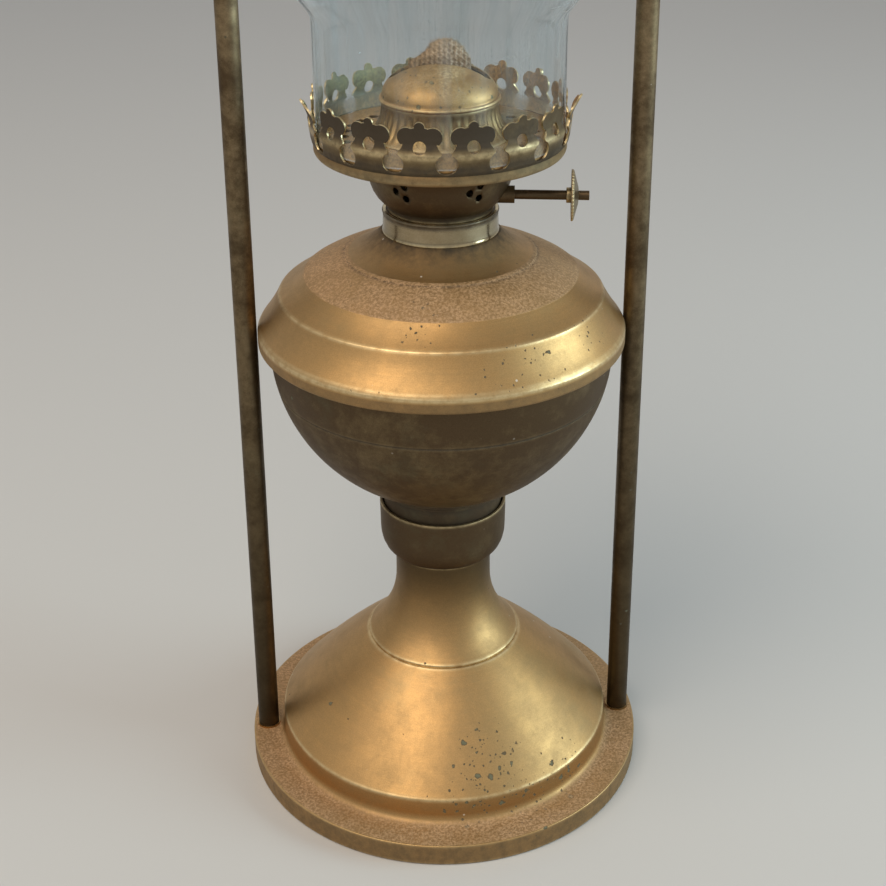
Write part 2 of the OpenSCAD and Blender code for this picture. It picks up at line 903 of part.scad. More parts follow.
// Solid that fills the basket up to its outer face
module basket_fill() {
    p = basket_line();
    rotate_extrude($fn = round_n)
        polygon(concat([[0, plug_top_z]], p, [[0, basket_top_z]]));
}

module spindle_gland() {
    color(brass)
        difference() {
            with_wick()
                translate([0, spindle_y, spindle_z])
                    rod_x(spindle_r + 1.6, gland_x, gland_x + gland_l);
            basket_fill();
            with_wick()
                translate([0, spindle_y, spindle_z])
                    rod_x(spindle_r + run, gland_x - over, gland_x + gland_l + over);
        }
}

module spindle() {
    color(bronze)
        with_wick()
            translate([0, spindle_y, spindle_z])
                rod_x(spindle_r, spindle_start, spindle_reach);
}

module wick_wheels() {
    tooth_h = 1.5;
    color(bronze)
        with_wick()
            for (side = [-1, 1])
                translate([side * wheel_x - wheel_w / 2, spindle_y, spindle_z])
                    rotate([0, 90, 0])
                        difference() {
                            linear_extrude(height = wheel_w)
                                polygon([for (i = [0:2 * wheel_teeth - 1])
                                    let (a = i * 180 / wheel_teeth, r = wheel_r - tooth_h * (i % 2))
                                    r * [cos(a), sin(a)]]);
                            translate([0, 0, -over])
                                cylinder(r = spindle_r, h = wheel_w + 2 * over, $fn = small_n);
                        }
}

module knob() {
    hub_r = spindle_r + 1.2;
    hub_l = 3.6;
    color(pale_brass)
        with_wick()
            translate([0, spindle_y, spindle_z])
                difference() {
                    union() {
                        rod_x(hub_r, knob_x - hub_l, knob_x);
                        translate([knob_x, 0, 0])
                            rotate([0, 90, 0])
                                rotate_extrude($fn = 48)
                                    polygon([
                                        [0, 0],
                                        [hub_r, 0],
                                        [knob_r - 0.6, -1.7],
                                        [knob_r, -1.6],
                                        [knob_r, -0.9],
                                        [knob_r - 0.7, -0.5],
                                        [hub_r, 1.2],
                                        [0, 1.2]
                                    ]);
                    }
                    rod_x(spindle_r, knob_x - hub_l - over, knob_x + 2 * over);
                }
}

// One side of the wick's crown, from its foot up: side is 1 on the right and -1 on the left
function crown_side(side) =
    let (crown = wick_top_z - wick_shoulder_z)
    [for (s = crown_steps)
        [side * s[1] * wick_w / 2 + crown_lean * s[0], wick_shoulder_z + crown * s[0]]];

module wick() {
    half = wick_w / 2;
    color(cotton)
        with_wick()
            translate([0, wick_t / 2, 0])
                rotate([90, 0, 0])
                    linear_extrude(height = wick_t)
                        polygon(concat(
                            [[half, wick_z]],
                            crown_side(1),
                            reversed(crown_side(-1)),
                            [[-half, wick_z]]
                        ));
}

function chimney_line() = concat(
    [[glass_r, glass_z]],
    arc([glass_r + neck_turn_r, neck_top_z], neck_turn_r, 180, 180 - ball_angle, 4),
    [for (i = [1:16]) let (a = -ball_angle + (ball_top_angle + ball_angle) * i / 16)
        [ball_r * cos(a), ball_z + ball_r * sin(a)]],
    [for (i = [1:8]) let (a = ball_top_angle * (1 - i / 8))
        [flue_r + turn_r * (1 - cos(a)), turn_z - turn_r * sin(a)]],
    [[flue_r, flue_top_z - 3], [flue_r + 0.8, flue_top_z]]
);

module chimney() {
    color(clear_glass)
        spun(chimney_line(), glass_t);
}

function canopy_line() = concat(
    [[base_r, canopy_z - sheet - canopy_band], [base_r, canopy_z], [wall_r + cove_r, canopy_z]],
    arc([wall_r + cove_r, canopy_z + cove_r], cove_r, 260, 180, 4),
    [[ridge_r, canopy_ridge_z], [vent_r, vent_z]]
);

module canopy() {
    color(brass)
        difference() {
            spun(canopy_line(), sheet);
            at_uprights()
                translate([0, 0, canopy_z - sheet - over])
                    cylinder(r = stud_r + 0.2, h = sheet + 2 * over, $fn = small_n);
        }
}

// Solid that fills the canopy up to its outer face
module canopy_fill() {
    rotate_extrude($fn = round_n)
        polygon(concat(
            [[0, canopy_z - sheet - canopy_band]],
            canopy_line(),
            [[vent_r, vent_z], [0, vent_z]]
        ));
}

module vent_collar() {
    color(brass)
        difference() {
            union() {
                ring(vent_r - 1.4, vent_r - 1.4 - sheet, vent_collar_z, vent_h);
                ring(vent_r + 2.2, vent_r - 1.6, vent_z - 2, 3);
                translate([0, 0, vent_collar_z + vent_h - 0.6])
                    rotate_extrude($fn = round_n)
                        translate([vent_r - 1.4 - sheet / 2, 0])
                            circle(r = 1.1, $fn = small_n);
            }
            difference() {
                canopy_fill();
                translate([0, 0, canopy_z - 2 * canopy_band])
                    cylinder(r = vent_r - 1.39, h = 3 * canopy_band + canopy_rise + vent_h, $fn = round_n);
            }
        }
}

function cap_line() = concat(
    [[cap_r, cap_z], [cap_r, cap_z + 1.4]],
    [for (i = [1:8]) let (a = 10 + 72 * i / 8)
        [cap_r * cos(a), cap_z + 1.2 + cap_h * sin(a) * (cap_h - 1.2) / cap_h]],
    [[0.01, cap_z + cap_h]]
);

module smoke_cap() {
    p = cap_line();
    q = inner_line(p, sheet);
    last = len(p) - 1;
    color(brass)
        difference() {
            rotate_extrude($fn = round_n)
                polygon(concat(
                    [for (i = [0:last - 1]) p[i]],
                    [[0, cap_z + cap_h], [0, cap_z + cap_h - sheet]],
                    [for (i = [last - 1:-1:0]) q[i]]
                ));
            at_posts()
                translate([0, 0, cap_z])
                    cylinder(r = post_screw_r + 0.2, h = 2 * cap_h, $fn = small_n);
        }
}

// Solid below the smoke cap's inner face
module cap_hollow() {
    q = inner_line(cap_line(), sheet);
    last = len(q) - 1;
    rotate_extrude($fn = round_n)
        polygon(concat(
            [[0, canopy_z]],
            [[cap_r - sheet, canopy_z]],
            [for (i = [1:last - 1]) q[i]],
            [[0, cap_z + cap_h - sheet]]
        ));
}

// Solid that fills the smoke cap up to its outer face
module cap_fill() {
    p = cap_line();
    last = len(p) - 1;
    rotate_extrude($fn = round_n)
        polygon(concat([[0, cap_z]], [for (i = [0:last - 1]) p[i]], [[0, cap_z + cap_h]]));
}

module at_posts() {
    for (i = [0:2])
        rotate([0, 0, 90 + 120 * i])
            translate([post_x, 0, 0])
                children();
}

module cap_posts() {
    color(brass)
        difference() {
            intersection() {
                at_posts()
                    translate([0, 0, canopy_z])
                        cylinder(r = post_r, h = cap_z + cap_h - canopy_z, $fn = small_n);
                cap_hollow();
            }
            canopy_fill();
            at_posts()
                translate([0, 0, cap_z - screw_hole_l])
                    cylinder(r = post_screw_r, h = 2 * cap_h, $fn = small_n);
        }
}

module cap_screws() {
    head_z = cap_z + 1.2 + sqrt(1 - pow(post_x / cap_r, 2)) * (cap_h - 1.2);
    head_ball_z = head_z - screw_head_sink;
    color(pale_brass)
        difference() {
            at_posts()
                union() {
                    translate([0, 0, cap_z - screw_grip])
                        cylinder(r = post_screw_r - run, h = head_z - cap_z + screw_grip, $fn = small_n);
                    intersection() {
                        translate([0, 0, head_ball_z])
                            sphere(r = screw_head_r, $fn = small_n);
                        translate([0, 0, head_ball_z])
                            cylinder(r = screw_head_r + over, h = screw_head_r + over, $fn = small_n);
                    }
                }
            difference() {
                cap_fill();
                at_posts()
                    translate([0, 0, cap_z - screw_hole_l - over])
                        cylinder(r = post_screw_r - run, h = 2 * cap_h, $fn = small_n);
            }
        }
}

module at_ears() {
    for (side = [0, 180])
        rotate([0, 0, side])
            translate([ear_x, 0, 0])
                children();
}

module bail_ears() {
    color(brass)
        difference() {
            at_ears()
                union() {
                    rotate([90, 0, 90])
                        linear_extrude(height = ear_t, center = true)
                            difference() {
                                union() {
                                    translate([-ear_w / 2, ear_foot_z - 3])
                                        square([ear_w, pivot_rise + 3]);
                                    translate([0, pivot_z])
                                        circle(d = ear_w, $fn = small_n);
                                }
                                translate([0, pivot_z])
                                    circle(r = wire_r + run, $fn = small_n);
                            }
                    translate([0, 0, ear_foot_z])
                        rotate([0, ear_angle, 0])
                            translate([-ear_tab_l, -ear_tab_w / 2, -over])
                                cube([ear_tab_l - ear_t / 4, ear_tab_w, ear_tab_t + over]);
                }
            canopy_fill();
        }
}

module ear_rivets() {
    color(pale_brass)
        at_ears()
            translate([0, 0, ear_foot_z])
                rotate([0, ear_angle, 0])
                    for (side = [-1, 1])
                        translate([-rivet_in, side * rivet_y, ear_tab_t])
                            intersection() {
                                translate([0, 0, -0.4 * rivet_r])
                                    sphere(r = rivet_r, $fn = small_n);
                                cylinder(r = 2 * rivet_r, h = 2 * rivet_r, $fn = small_n);
                            }
}

module quarter_bend(r, bend) {
    rotate_extrude(angle = 90, $fn = 64)
        translate([bend, 0])
            circle(r = r, $fn = small_n);
}

// The bail stands up along +Z from its pivots, which lie on the X axis
module bail_upright() {
    leg_h = bail_reach - bail_corner_r;
    bar_half = leg_x - bail_corner_r;
    for (side = [0, 1])
        mirror([side, 0, 0]) {
            cylinder_from = ear_x - ear_t / 2 - clear - 1.2;
            rod_x(wire_r, cylinder_from, leg_x);
            rod_x(wire_r + 1, cylinder_from - 1.4, cylinder_from);
            translate([leg_x, 0, 0])
                sphere(r = wire_r, $fn = small_n);
            translate([leg_x, 0, 0])
                cylinder(r = wire_r, h = leg_h, $fn = small_n);
            translate([leg_x - bail_corner_r, 0, leg_h])
                rotate([90, 0, 0])
                    quarter_bend(wire_r, bail_corner_r);
        }
    translate([0, 0, bail_reach])
        rod_x(wire_r, -bar_half, bar_half);
}

module bail() {
    color(brass)
        translate([0, 0, pivot_z])
            rotate([-90 - bail_tilt, 0, 0])
                bail_upright();
}

base_shell();
base_weight();
bottom_plate();
felt_pad();
stem();
stem_cup();
tie_rod();
tie_washer();
tie_nut();
upright_left();
upright_right();
upright_studs();
upright_ferrules();
foot_washers();
foot_nuts();
cap_washers();
acorn_nuts();
reservoir_boss();
reservoir_bowl();
reservoir_top();
collar();
burner_gasket();
burner_plug();
air_basket();
gallery_plate();
coronet();
flame_bell();
flame_dome();
wick_tube();
spindle_brackets();
spindle_gland();
spindle();
wick_wheels();
knob();
wick();
chimney();
canopy();
vent_collar();
cap_posts();
smoke_cap();
cap_screws();
bail_ears();
ear_rivets();
bail();
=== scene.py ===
"""Looks of a brass oil lantern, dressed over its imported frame: spun shells, coronet, wick, glass and patina."""

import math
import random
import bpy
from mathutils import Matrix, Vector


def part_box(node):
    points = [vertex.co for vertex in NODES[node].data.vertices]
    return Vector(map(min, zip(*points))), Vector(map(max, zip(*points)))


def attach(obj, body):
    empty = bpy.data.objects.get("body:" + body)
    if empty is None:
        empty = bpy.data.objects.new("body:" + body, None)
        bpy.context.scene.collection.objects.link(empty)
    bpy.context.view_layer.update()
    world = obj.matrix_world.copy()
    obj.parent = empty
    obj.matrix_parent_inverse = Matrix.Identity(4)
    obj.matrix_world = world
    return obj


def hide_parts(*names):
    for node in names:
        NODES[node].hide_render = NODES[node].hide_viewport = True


bl_info = {
    "name": "Brass oil lantern",
    "version": (1, 0, 0),
    "blender": (4, 5, 0),
    "location": "3D View > Sidebar > Lantern",
    "description": "Spun brass, pierced coronet, knitted wick and old glass for an oil lantern",
    "category": "Add Mesh",
}

import bmesh
import bpy
from bpy.props import (
    FloatProperty,
    FloatVectorProperty,
    IntProperty,
    PointerProperty,
)
from mathutils import Matrix, Vector, noise

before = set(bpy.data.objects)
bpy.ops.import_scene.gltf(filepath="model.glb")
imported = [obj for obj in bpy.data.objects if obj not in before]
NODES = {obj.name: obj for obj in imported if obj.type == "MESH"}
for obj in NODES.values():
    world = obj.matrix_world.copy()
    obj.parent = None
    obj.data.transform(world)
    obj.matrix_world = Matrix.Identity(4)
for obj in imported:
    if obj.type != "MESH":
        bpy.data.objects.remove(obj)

MM = 0.001
DEG = math.pi / 180
# Width and height of the picture, in pixels
PICTURE = 886
# Where the photograph's lens axis meets the picture, in pixels
AXIS_PIXEL = (441.2, 300.7)
# Distance from lens to picture, in pixels
LENS_PIXELS = 1518.2
SENSOR_MM = 36

# Angle between two stretches of an outline past which it has a corner there
CORNER = 23 * DEG
# The same on a shell whose ridges are blunt
BLUNT_CORNER = 7 * DEG
# Angle of a corner that takes all the wear there is
FULL_WEAR = 55 * DEG
# Turn of the wick and its spindle about the lantern's axis
WICK_TURN = Matrix.Rotation(-8 * DEG, 4, "Z")
# Distances from a corner at which an outline gets extra points, so that wear can fade
FADE_STEPS = (0.35 * MM, 0.8 * MM, 1.4 * MM, 2.2 * MM, 3.4 * MM)
# Azimuth of the cut that reads an outline, clear of every hole
CUT_AZIMUTH = 7.3 * DEG


class LanternSizes(bpy.types.PropertyGroup):
    """Sizes of the surfaces that the frame leaves open"""

    edge_round: FloatProperty(
        name="Edge round",
        description="Length of sheet that a spun corner takes on each side",
        default=0.45 * MM,
        min=0.05 * MM,
        max=1.5 * MM,
        unit="LENGTH",
    )
    wear_width: FloatProperty(
        name="Wear width",
        description="Distance over which the bright wear of an edge fades",
        default=0.55 * MM,
        min=0.1 * MM,
        max=5 * MM,
        unit="LENGTH",
    )
    outline_step: FloatProperty(
        name="Outline step",
        description="Longest stretch of outline between two rings of a spun shell",
        default=3 * MM,
        min=1 * MM,
        max=10 * MM,
        unit="LENGTH",
    )
    unevenness: FloatProperty(
        name="Unevenness",
        description="How far hand spinning and use have pushed the sheet about",
        default=0.11 * MM,
        min=0,
        max=0.3 * MM,
        unit="LENGTH",
    )
    petals: IntProperty(
        name="Petals",
        description="Number of petals round the coronet",
        default=16,
        min=8,
        max=24,
    )
    petal_lean: FloatProperty(
        name="Petal lean",
        description="How far handling has bent the petals in and out",
        default=0.35 * MM,
        min=0,
        max=1 * MM,
        unit="LENGTH",
    )
    flutes: IntProperty(
        name="Flutes",
        description="Number of flutes round the burner's skirt",
        default=44,
        min=12,
        max=90,
    )
    knit_width: FloatProperty(
        name="Knit width",
        description="Width of one knitted rib of the wick",
        default=1.9 * MM,
        min=0.5 * MM,
        max=4 * MM,
        unit="LENGTH",
    )
    fibres: IntProperty(
        name="Fibres",
        description="Number of loose fibres round the wick's crown",
        default=1500,
        min=0,
        max=5000,
    )
    knob_teeth: IntProperty(
        name="Knob teeth",
        description="Number of notches milled round the knob",
        default=40,
        min=12,
        max=90,
    )


class LanternFinish(bpy.types.PropertyGroup):
    """Colours of the lantern's metals, dust, glass and cotton"""

    brass: FloatVectorProperty(
        name="Brass",
        description="Aged satin brass where it is cleanest",
        default=(0.53, 0.315, 0.125, 1),
        size=4,
        min=0,
        max=1,
        subtype="COLOR",
    )
    tarnish: FloatVectorProperty(
        name="Tarnish",
        description="Darker olive film over the brass",
        default=(0.235, 0.175, 0.09, 1),
        size=4,
        min=0,
        max=1,
        subtype="COLOR",
    )
    # Also the colour of painted shade in corners, on the petals, on the boss, under the collar and at the stem's top,
    # and of the darkening towards the tubes' feet
    soot_and_shade: FloatVectorProperty(
        name="Soot",
        description="Brown-black grime in corners and on the coronet",
        default=(0.05, 0.036, 0.02, 1),
        size=4,
        min=0,
        max=1,
        subtype="COLOR",
    )
    # Also the colour of the painted highlight along the coronet's bulge
    bright: FloatVectorProperty(
        name="Bright brass",
        description="Edges and rims that handling keeps bright",
        default=(0.84, 0.67, 0.38, 1),
        size=4,
        min=0,
        max=1,
        subtype="COLOR",
    )
    # Painted shade: the bowl, the cup, the boss and the basket are darkened towards this colour; it is also the darker
    # film of the tubes, the coronet and the wheels
    shade: FloatVectorProperty(
        name="Shade brass",
        description="Brown film where nobody ever rubs the brass: under the bowl, the cup and the basket",
        default=(0.108, 0.072, 0.04, 1),
        size=4,
        min=0,
        max=1,
        subtype="COLOR",
    )
    pale_brass: FloatVectorProperty(
        name="Pale brass",
        description="Greyer brass of the collar and the knob, with most of its plating left",
        default=(0.43, 0.36, 0.24, 1),
        size=4,
        min=0,
        max=1,
        subtype="COLOR",
    )
    thin_film: FloatVectorProperty(
        name="Thin film",
        description="Light tarnish of the big shells, where the brass still shows through",
        default=(0.33, 0.225, 0.105, 1),
        size=4,
        min=0,
        max=1,
        subtype="COLOR",
    )
    pit: FloatVectorProperty(
        name="Pits",
        description="Dark olive floor of the eaten spots",
        default=(0.085, 0.072, 0.042, 1),
        size=4,
        min=0,
        max=1,
        subtype="COLOR",
    )
    bronze: FloatVectorProperty(
        name="Tube bronze",
        description="Brown film of the upright tubes",
        default=(0.44, 0.33, 0.19, 1),
        size=4,
        min=0,
        max=1,
        subtype="COLOR",
    )
    dust: FloatVectorProperty(
        name="Dust",
        description="Pinkish-tan dust on the ledges",
        default=(0.44, 0.28, 0.15, 1),
        size=4,
        min=0,
        max=1,
        subtype="COLOR",
    )
    verdigris: FloatVectorProperty(
        name="Verdigris",
        description="Dull green-grey film and spots",
        default=(0.2, 0.235, 0.15, 1),
        size=4,
        min=0,
        max=1,
        subtype="COLOR",
    )
    steel: FloatVectorProperty(
        name="Steel",
        description="Plain steel of the tie rod and the nuts",
        default=(0.42, 0.42, 0.41, 1),
        size=4,
        min=0,
        max=1,
        subtype="COLOR",
    )
    iron: FloatVectorProperty(
        name="Cast iron",
        description="Rough iron of the hidden weight",
        default=(0.08, 0.075, 0.07, 1),
        size=4,
        min=0,
        max=1,
        subtype="COLOR",
    )
    felt: FloatVectorProperty(
        name="Felt",
        description="Green felt under the foot",
        default=(0.028, 0.065, 0.04, 1),
        size=4,
        min=0,
        max=1,
        subtype="COLOR",
    )
    cork: FloatVectorProperty(
        name="Cork",
        description="Washer under the burner",
        default=(0.36, 0.21, 0.1, 1),
        size=4,
        min=0,
        max=1,
        subtype="COLOR",
    )
    cotton: FloatVectorProperty(
        name="Cotton",
        description="Knitted wick, browned by use",
        default=(0.45, 0.335, 0.22, 1),
        size=4,
        min=0,
        max=1,
        subtype="COLOR",
    )
    glass: FloatVectorProperty(
        name="Glass",
        description="Faint blue-grey tint of the chimney",
        default=(0.80, 0.87, 0.90, 1),
        size=4,
        min=0,
        max=1,
        subtype="COLOR",
    )
    haze: FloatVectorProperty(
        name="Haze",
        description="Blue-grey film and dust on the glass",
        default=(0.36, 0.42, 0.44, 1),
        size=4,
        min=0,
        max=1,
        subtype="COLOR",
    )


class LanternStage(bpy.types.PropertyGroup):
    """Camera, floor and lamps"""

    distance: FloatProperty(
        name="Distance",
        description="Level distance from the lens to the lantern's axis",
        default=0.582,
        min=0.3,
        unit="LENGTH",
    )
    height: FloatProperty(
        name="Height",
        description="Height of the lens above the floor",
        default=0.4578,
        min=0.05,
        unit="LENGTH",
    )
    azimuth: FloatProperty(
        name="Azimuth",
        description="Turn of the camera from the lantern's front",
        default=4.0 * DEG,
        subtype="ANGLE",
    )
    pitch: FloatProperty(
        name="Pitch",
        description="Angle at which the camera looks down",
        default=22.42 * DEG,
        subtype="ANGLE",
    )
    roll: FloatProperty(
        name="Roll",
        description="Lean of the camera about its own axis",
        default=-0.40 * DEG,
        subtype="ANGLE",
    )
    floor: FloatVectorProperty(
        name="Floor",
        description="Pale floor",
        default=(0.66, 0.655, 0.64, 1),
        size=4,
        min=0,
        max=1,
        subtype="COLOR",
    )
    backdrop: FloatVectorProperty(
        name="Backdrop",
        description="Pale surroundings as camera, metal and glass see them",
        default=(0.54, 0.54, 0.53, 1),
        size=4,
        min=0,
        max=1,
        subtype="COLOR",
    )
    sky: FloatProperty(
        name="Sky",
        description="Strength of the even light from all round",
        default=0.36,
        min=0,
    )
    key: FloatProperty(
        name="Key lamp",
        description="Power of the soft lamp at the front left",
        default=21.5,
        min=0,
        unit="POWER",
    )
    fill: FloatProperty(
        name="Fill lamp",
        description="Power of the soft lamp at the right",
        default=13,
        min=0,
        unit="POWER",
    )


class LanternSettings(bpy.types.PropertyGroup):
    """All that a user would change"""

    sizes: PointerProperty(type=LanternSizes)
    finish: PointerProperty(type=LanternFinish)
    stage: PointerProperty(type=LanternStage)


def settings():
    return bpy.context.scene.lantern


# Shader nodes


def add(tree, kind, inputs=None, **fields):
    """A node of that kind whose inputs are set to values or fed by other nodes' outputs"""
    node = tree.nodes.new(kind)
    for key, value in fields.items():
        setattr(node, key, value)
    for key, value in (inputs or {}).items():
        socket = node.inputs[key]
        if isinstance(value, bpy.types.NodeSocket):
            tree.links.new(value, socket)
        else:
            socket.default_value = value
    return node


def maths(tree, operation, a, b=0.0, clamp=False):
    return add(tree, "ShaderNodeMath", {0: a, 1: b}, operation=operation, use_clamp=clamp).outputs[0]


def blend(tree, factor, a, b, mode="MIX"):
    """Output of a colour mix from a to b"""
    node = add(tree, "ShaderNodeMix", data_type="RGBA", blend_type=mode)
    for name, value in (("Factor_Float", factor), ("A_Color", a), ("B_Color", b)):
        socket = next(s for s in node.inputs if s.identifier == name)
        if isinstance(value, bpy.types.NodeSocket):
            tree.links.new(value, socket)
        else:
            socket.default_value = value
    return next(s for s in node.outputs if s.identifier == "Result_Color")


def ramp(tree, value, low, high, to_low=0.0, to_high=1.0):
    """value taken smoothly from low..high to to_low..to_high"""
    inputs = {"Value": value, "From Min": low, "From Max": high, "To Min": to_low, "To Max": to_high}
    return add(tree, "ShaderNodeMapRange", inputs, interpolation_type="SMOOTHSTEP").outputs[0]


def place(tree, scale=(1, 1, 1), offset=(0, 0, 0)):
    """Coordinates fixed to the piece, in metres times scale"""
    spot = add(tree, "ShaderNodeTexCoord").outputs["Object"]
    return add(tree, "ShaderNodeMapping", {"Vector": spot, "Scale": scale, "Location": offset}).outputs[0]


def clouds(tree, vector, scale, detail=5.0, rough=0.55, distortion=0.0):
    inputs = {
        "Vector": vector,
        "Scale": scale,
        "Detail": detail,
        "Roughness": rough,
        "Distortion": distortion,
    }
    return add(tree, "ShaderNodeTexNoise", inputs).outputs["Fac"]


def group(name, inputs, outputs, build):
    """The node group of that name, built once: build(tree, inputs by name) returns its outputs by name"""
    tree = bpy.data.node_groups.get(name)
    if tree:
        return tree
    tree = bpy.data.node_groups.new(name, "ShaderNodeTree")
    for label, kind, default in inputs:
        socket = tree.interface.new_socket(label, in_out="INPUT", socket_type=kind)
        socket.default_value = default
    for label, kind in outputs:
        tree.interface.new_socket(label, in_out="OUTPUT", socket_type=kind)
    entry = tree.nodes.new("NodeGroupInput")
    leave = tree.nodes.new("NodeGroupOutput")
    made = build(tree, {s.name: s for s in entry.outputs if s.name})
    for label, _ in outputs:
        tree.links.new(made[label], leave.inputs[label])
    return tree


FLOAT = "NodeSocketFloat"
COLOUR = "NodeSocketColor"


def build_patina(tree, given):
    """Broad and fine drifts of tarnish over clean metal"""
    broad = clouds(tree, place(tree), given["Scale"], detail=6.0, rough=0.62, distortion=0.6)
    fine_scale = maths(tree, "MULTIPLY", given["Scale"], 7.0)
    fine = clouds(tree, place(tree, offset=(0.37, 0.11, 0.53)), fine_scale, detail=7.0, rough=0.7)
    mixed = maths(tree, "ADD", maths(tree, "MULTIPLY", broad, 0.62), maths(tree, "MULTIPLY", fine, 0.38))
    low = maths(tree, "SUBTRACT", 0.5, given["Softness"])
    high = maths(tree, "ADD", 0.5, given["Softness"])
    mask = ramp(tree, mixed, low, high)
    shifted = maths(tree, "ADD", maths(tree, "SUBTRACT", mask, 0.5), given["Amount"], clamp=True)
    colour = blend(tree, shifted, given["Clean"], given["Film"])
    grain = clouds(tree, place(tree, offset=(0.7, 0.2, 0.9)), 2600.0, detail=2.0)
    shade = ramp(tree, grain, 0.3, 0.7, 0.9, 1.08)
    shaded = blend(tree, 1.0, colour, add(tree, "ShaderNodeCombineColor", {0: shade, 1: shade, 2: shade}).outputs[0], "MULTIPLY")
    return {"Color": shaded, "Mask": shifted, "Grain": grain}


def patina():
    return group(
        "Patina",
        [
            ("Clean", COLOUR, (0.5, 0.4, 0.2, 1)),
            ("Film", COLOUR, (0.25, 0.2, 0.1, 1)),
            ("Scale", FLOAT, 18.0),
            ("Softness", FLOAT, 0.16),
            ("Amount", FLOAT, 0.5),
        ],
        [("Color", COLOUR), ("Mask", FLOAT), ("Grain", FLOAT)],
        build_patina,
    )


def build_lathe_lines(tree, given):
    """Fine lines left round the metal by the spinning tool"""
    spot = add(tree, "ShaderNodeSeparateXYZ", {0: add(tree, "ShaderNodeTexCoord").outputs["Object"]}).outputs
    flat = add(tree, "ShaderNodeCombineXYZ", {0: spot["X"], 1: spot["Y"]}).outputs[0]
    radius = add(tree, "ShaderNodeVectorMath", {0: flat}, operation="LENGTH").outputs["Value"]
    around = maths(tree, "ARCTAN2", spot["Y"], spot["X"])
    lengthwise = maths(tree, "MULTIPLY", around, 0.0012)
    lines = add(tree, "ShaderNodeCombineXYZ", {0: radius, 1: spot["Z"], 2: lengthwise}).outputs[0]
    fine = clouds(tree, lines, given["Scale"], detail=3.0, rough=0.7)
    patches = ramp(tree, clouds(tree, place(tree, offset=(0.2, 0.4, 0.1)), 30.0), 0.35, 0.65)
    centred = maths(tree, "SUBTRACT", fine, 0.5)
    return {"Height": maths(tree, "MULTIPLY", centred, patches), "Lines": fine}


def lathe_lines():
    return group(
        "Lathe lines",
        [("Scale", FLOAT, 900.0)],
        [("Height", FLOAT), ("Lines", FLOAT)],
        build_lathe_lines,
    )


def build_edge_wear(tree, given):
    """Masks of worn edges, which also carry a painted highlight, and of grimy corners, which also carry painted shade,
    from what the outlines painted on the mesh
    """
    wear = add(tree, "ShaderNodeAttribute", attribute_name="wear").outputs["Fac"]
    cove = add(tree, "ShaderNodeAttribute", attribute_name="cove").outputs["Fac"]
    broken = clouds(tree, place(tree), 260.0, detail=4.0, rough=0.65)
    worn = maths(tree, "MULTIPLY", wear, ramp(tree, broken, 0.28, 0.62, 0.35, 1.25))
    grime = maths(tree, "MULTIPLY", cove, ramp(tree, broken, 0.25, 0.7, 1.2, 0.7))
    return {
        "Worn": maths(tree, "MULTIPLY", worn, given["Wear"], clamp=True),
        "Grime": maths(tree, "MULTIPLY", grime, given["Grime"], clamp=True),
    }


def edge_wear_sheen_and_shade():
    return group(
        "Edge wear",
        [("Wear", FLOAT, 0.8), ("Grime", FLOAT, 0.8)],
        [("Worn", FLOAT), ("Grime", FLOAT)],
        build_edge_wear,
    )


def build_settled_dust(tree, given):
    """Dust that lies where the metal faces up, thicker on the ledges that the mesh names, and loose specks"""
    up = add(tree, "ShaderNodeSeparateXYZ", {0: add(tree, "ShaderNodeTexCoord").outputs["Normal"]}).outputs["Z"]
    facing = ramp(tree, up, 0.1, 1.0)
    ledge = add(tree, "ShaderNodeAttribute", attribute_name="dust").outputs["Fac"]
    drift = clouds(tree, place(tree, offset=(0.5, 0.9, 0.3)), 42.0, detail=8.0, rough=0.68, distortion=0.4)
    speckle = clouds(tree, place(tree, offset=(0.1, 0.2, 0.8)), 900.0, detail=4.0, rough=0.75)
    settled = maths(tree, "MULTIPLY", maths(tree, "MULTIPLY", facing, given["Everywhere"]), ramp(tree, drift, 0.38, 0.7))
    thick = maths(tree, "MULTIPLY", ledge, ramp(tree, drift, 0.2, 0.62, 0.35, 1.0))
    both = maths(tree, "ADD", settled, maths(tree, "MULTIPLY", thick, given["Ledges"]))
    broken = maths(tree, "MULTIPLY", both, ramp(tree, speckle, 0.3, 0.62, 0.45, 1.15), clamp=True)
    cells = {"Vector": place(tree, offset=(0.31, 0.17, 0.77)), "Scale": 150.0, "Randomness": 1.0}
    nearest = add(tree, "ShaderNodeTexVoronoi", cells)
    keep = ramp(tree, add(tree, "ShaderNodeSeparateColor", {0: nearest.outputs["Color"]}).outputs[0], 0.9, 0.93)
    speck = maths(tree, "MULTIPLY", ramp(tree, nearest.outputs["Distance"], 0.05, 0.09, 1.0, 0.0), keep)
    return {
        "Mask": broken,
        "Specks": maths(tree, "MULTIPLY", speck, given["Specks"], clamp=True),
        "Grain": ramp(tree, speckle, 0.36, 0.64, 0.58, 1.3),
    }


def settled_dust():
    return group(
        "Settled dust",
        [("Everywhere", FLOAT, 0.3), ("Ledges", FLOAT, 0.8), ("Specks", FLOAT, 0.8)],
        [("Mask", FLOAT), ("Specks", FLOAT), ("Grain", FLOAT)],
        build_settled_dust,
    )


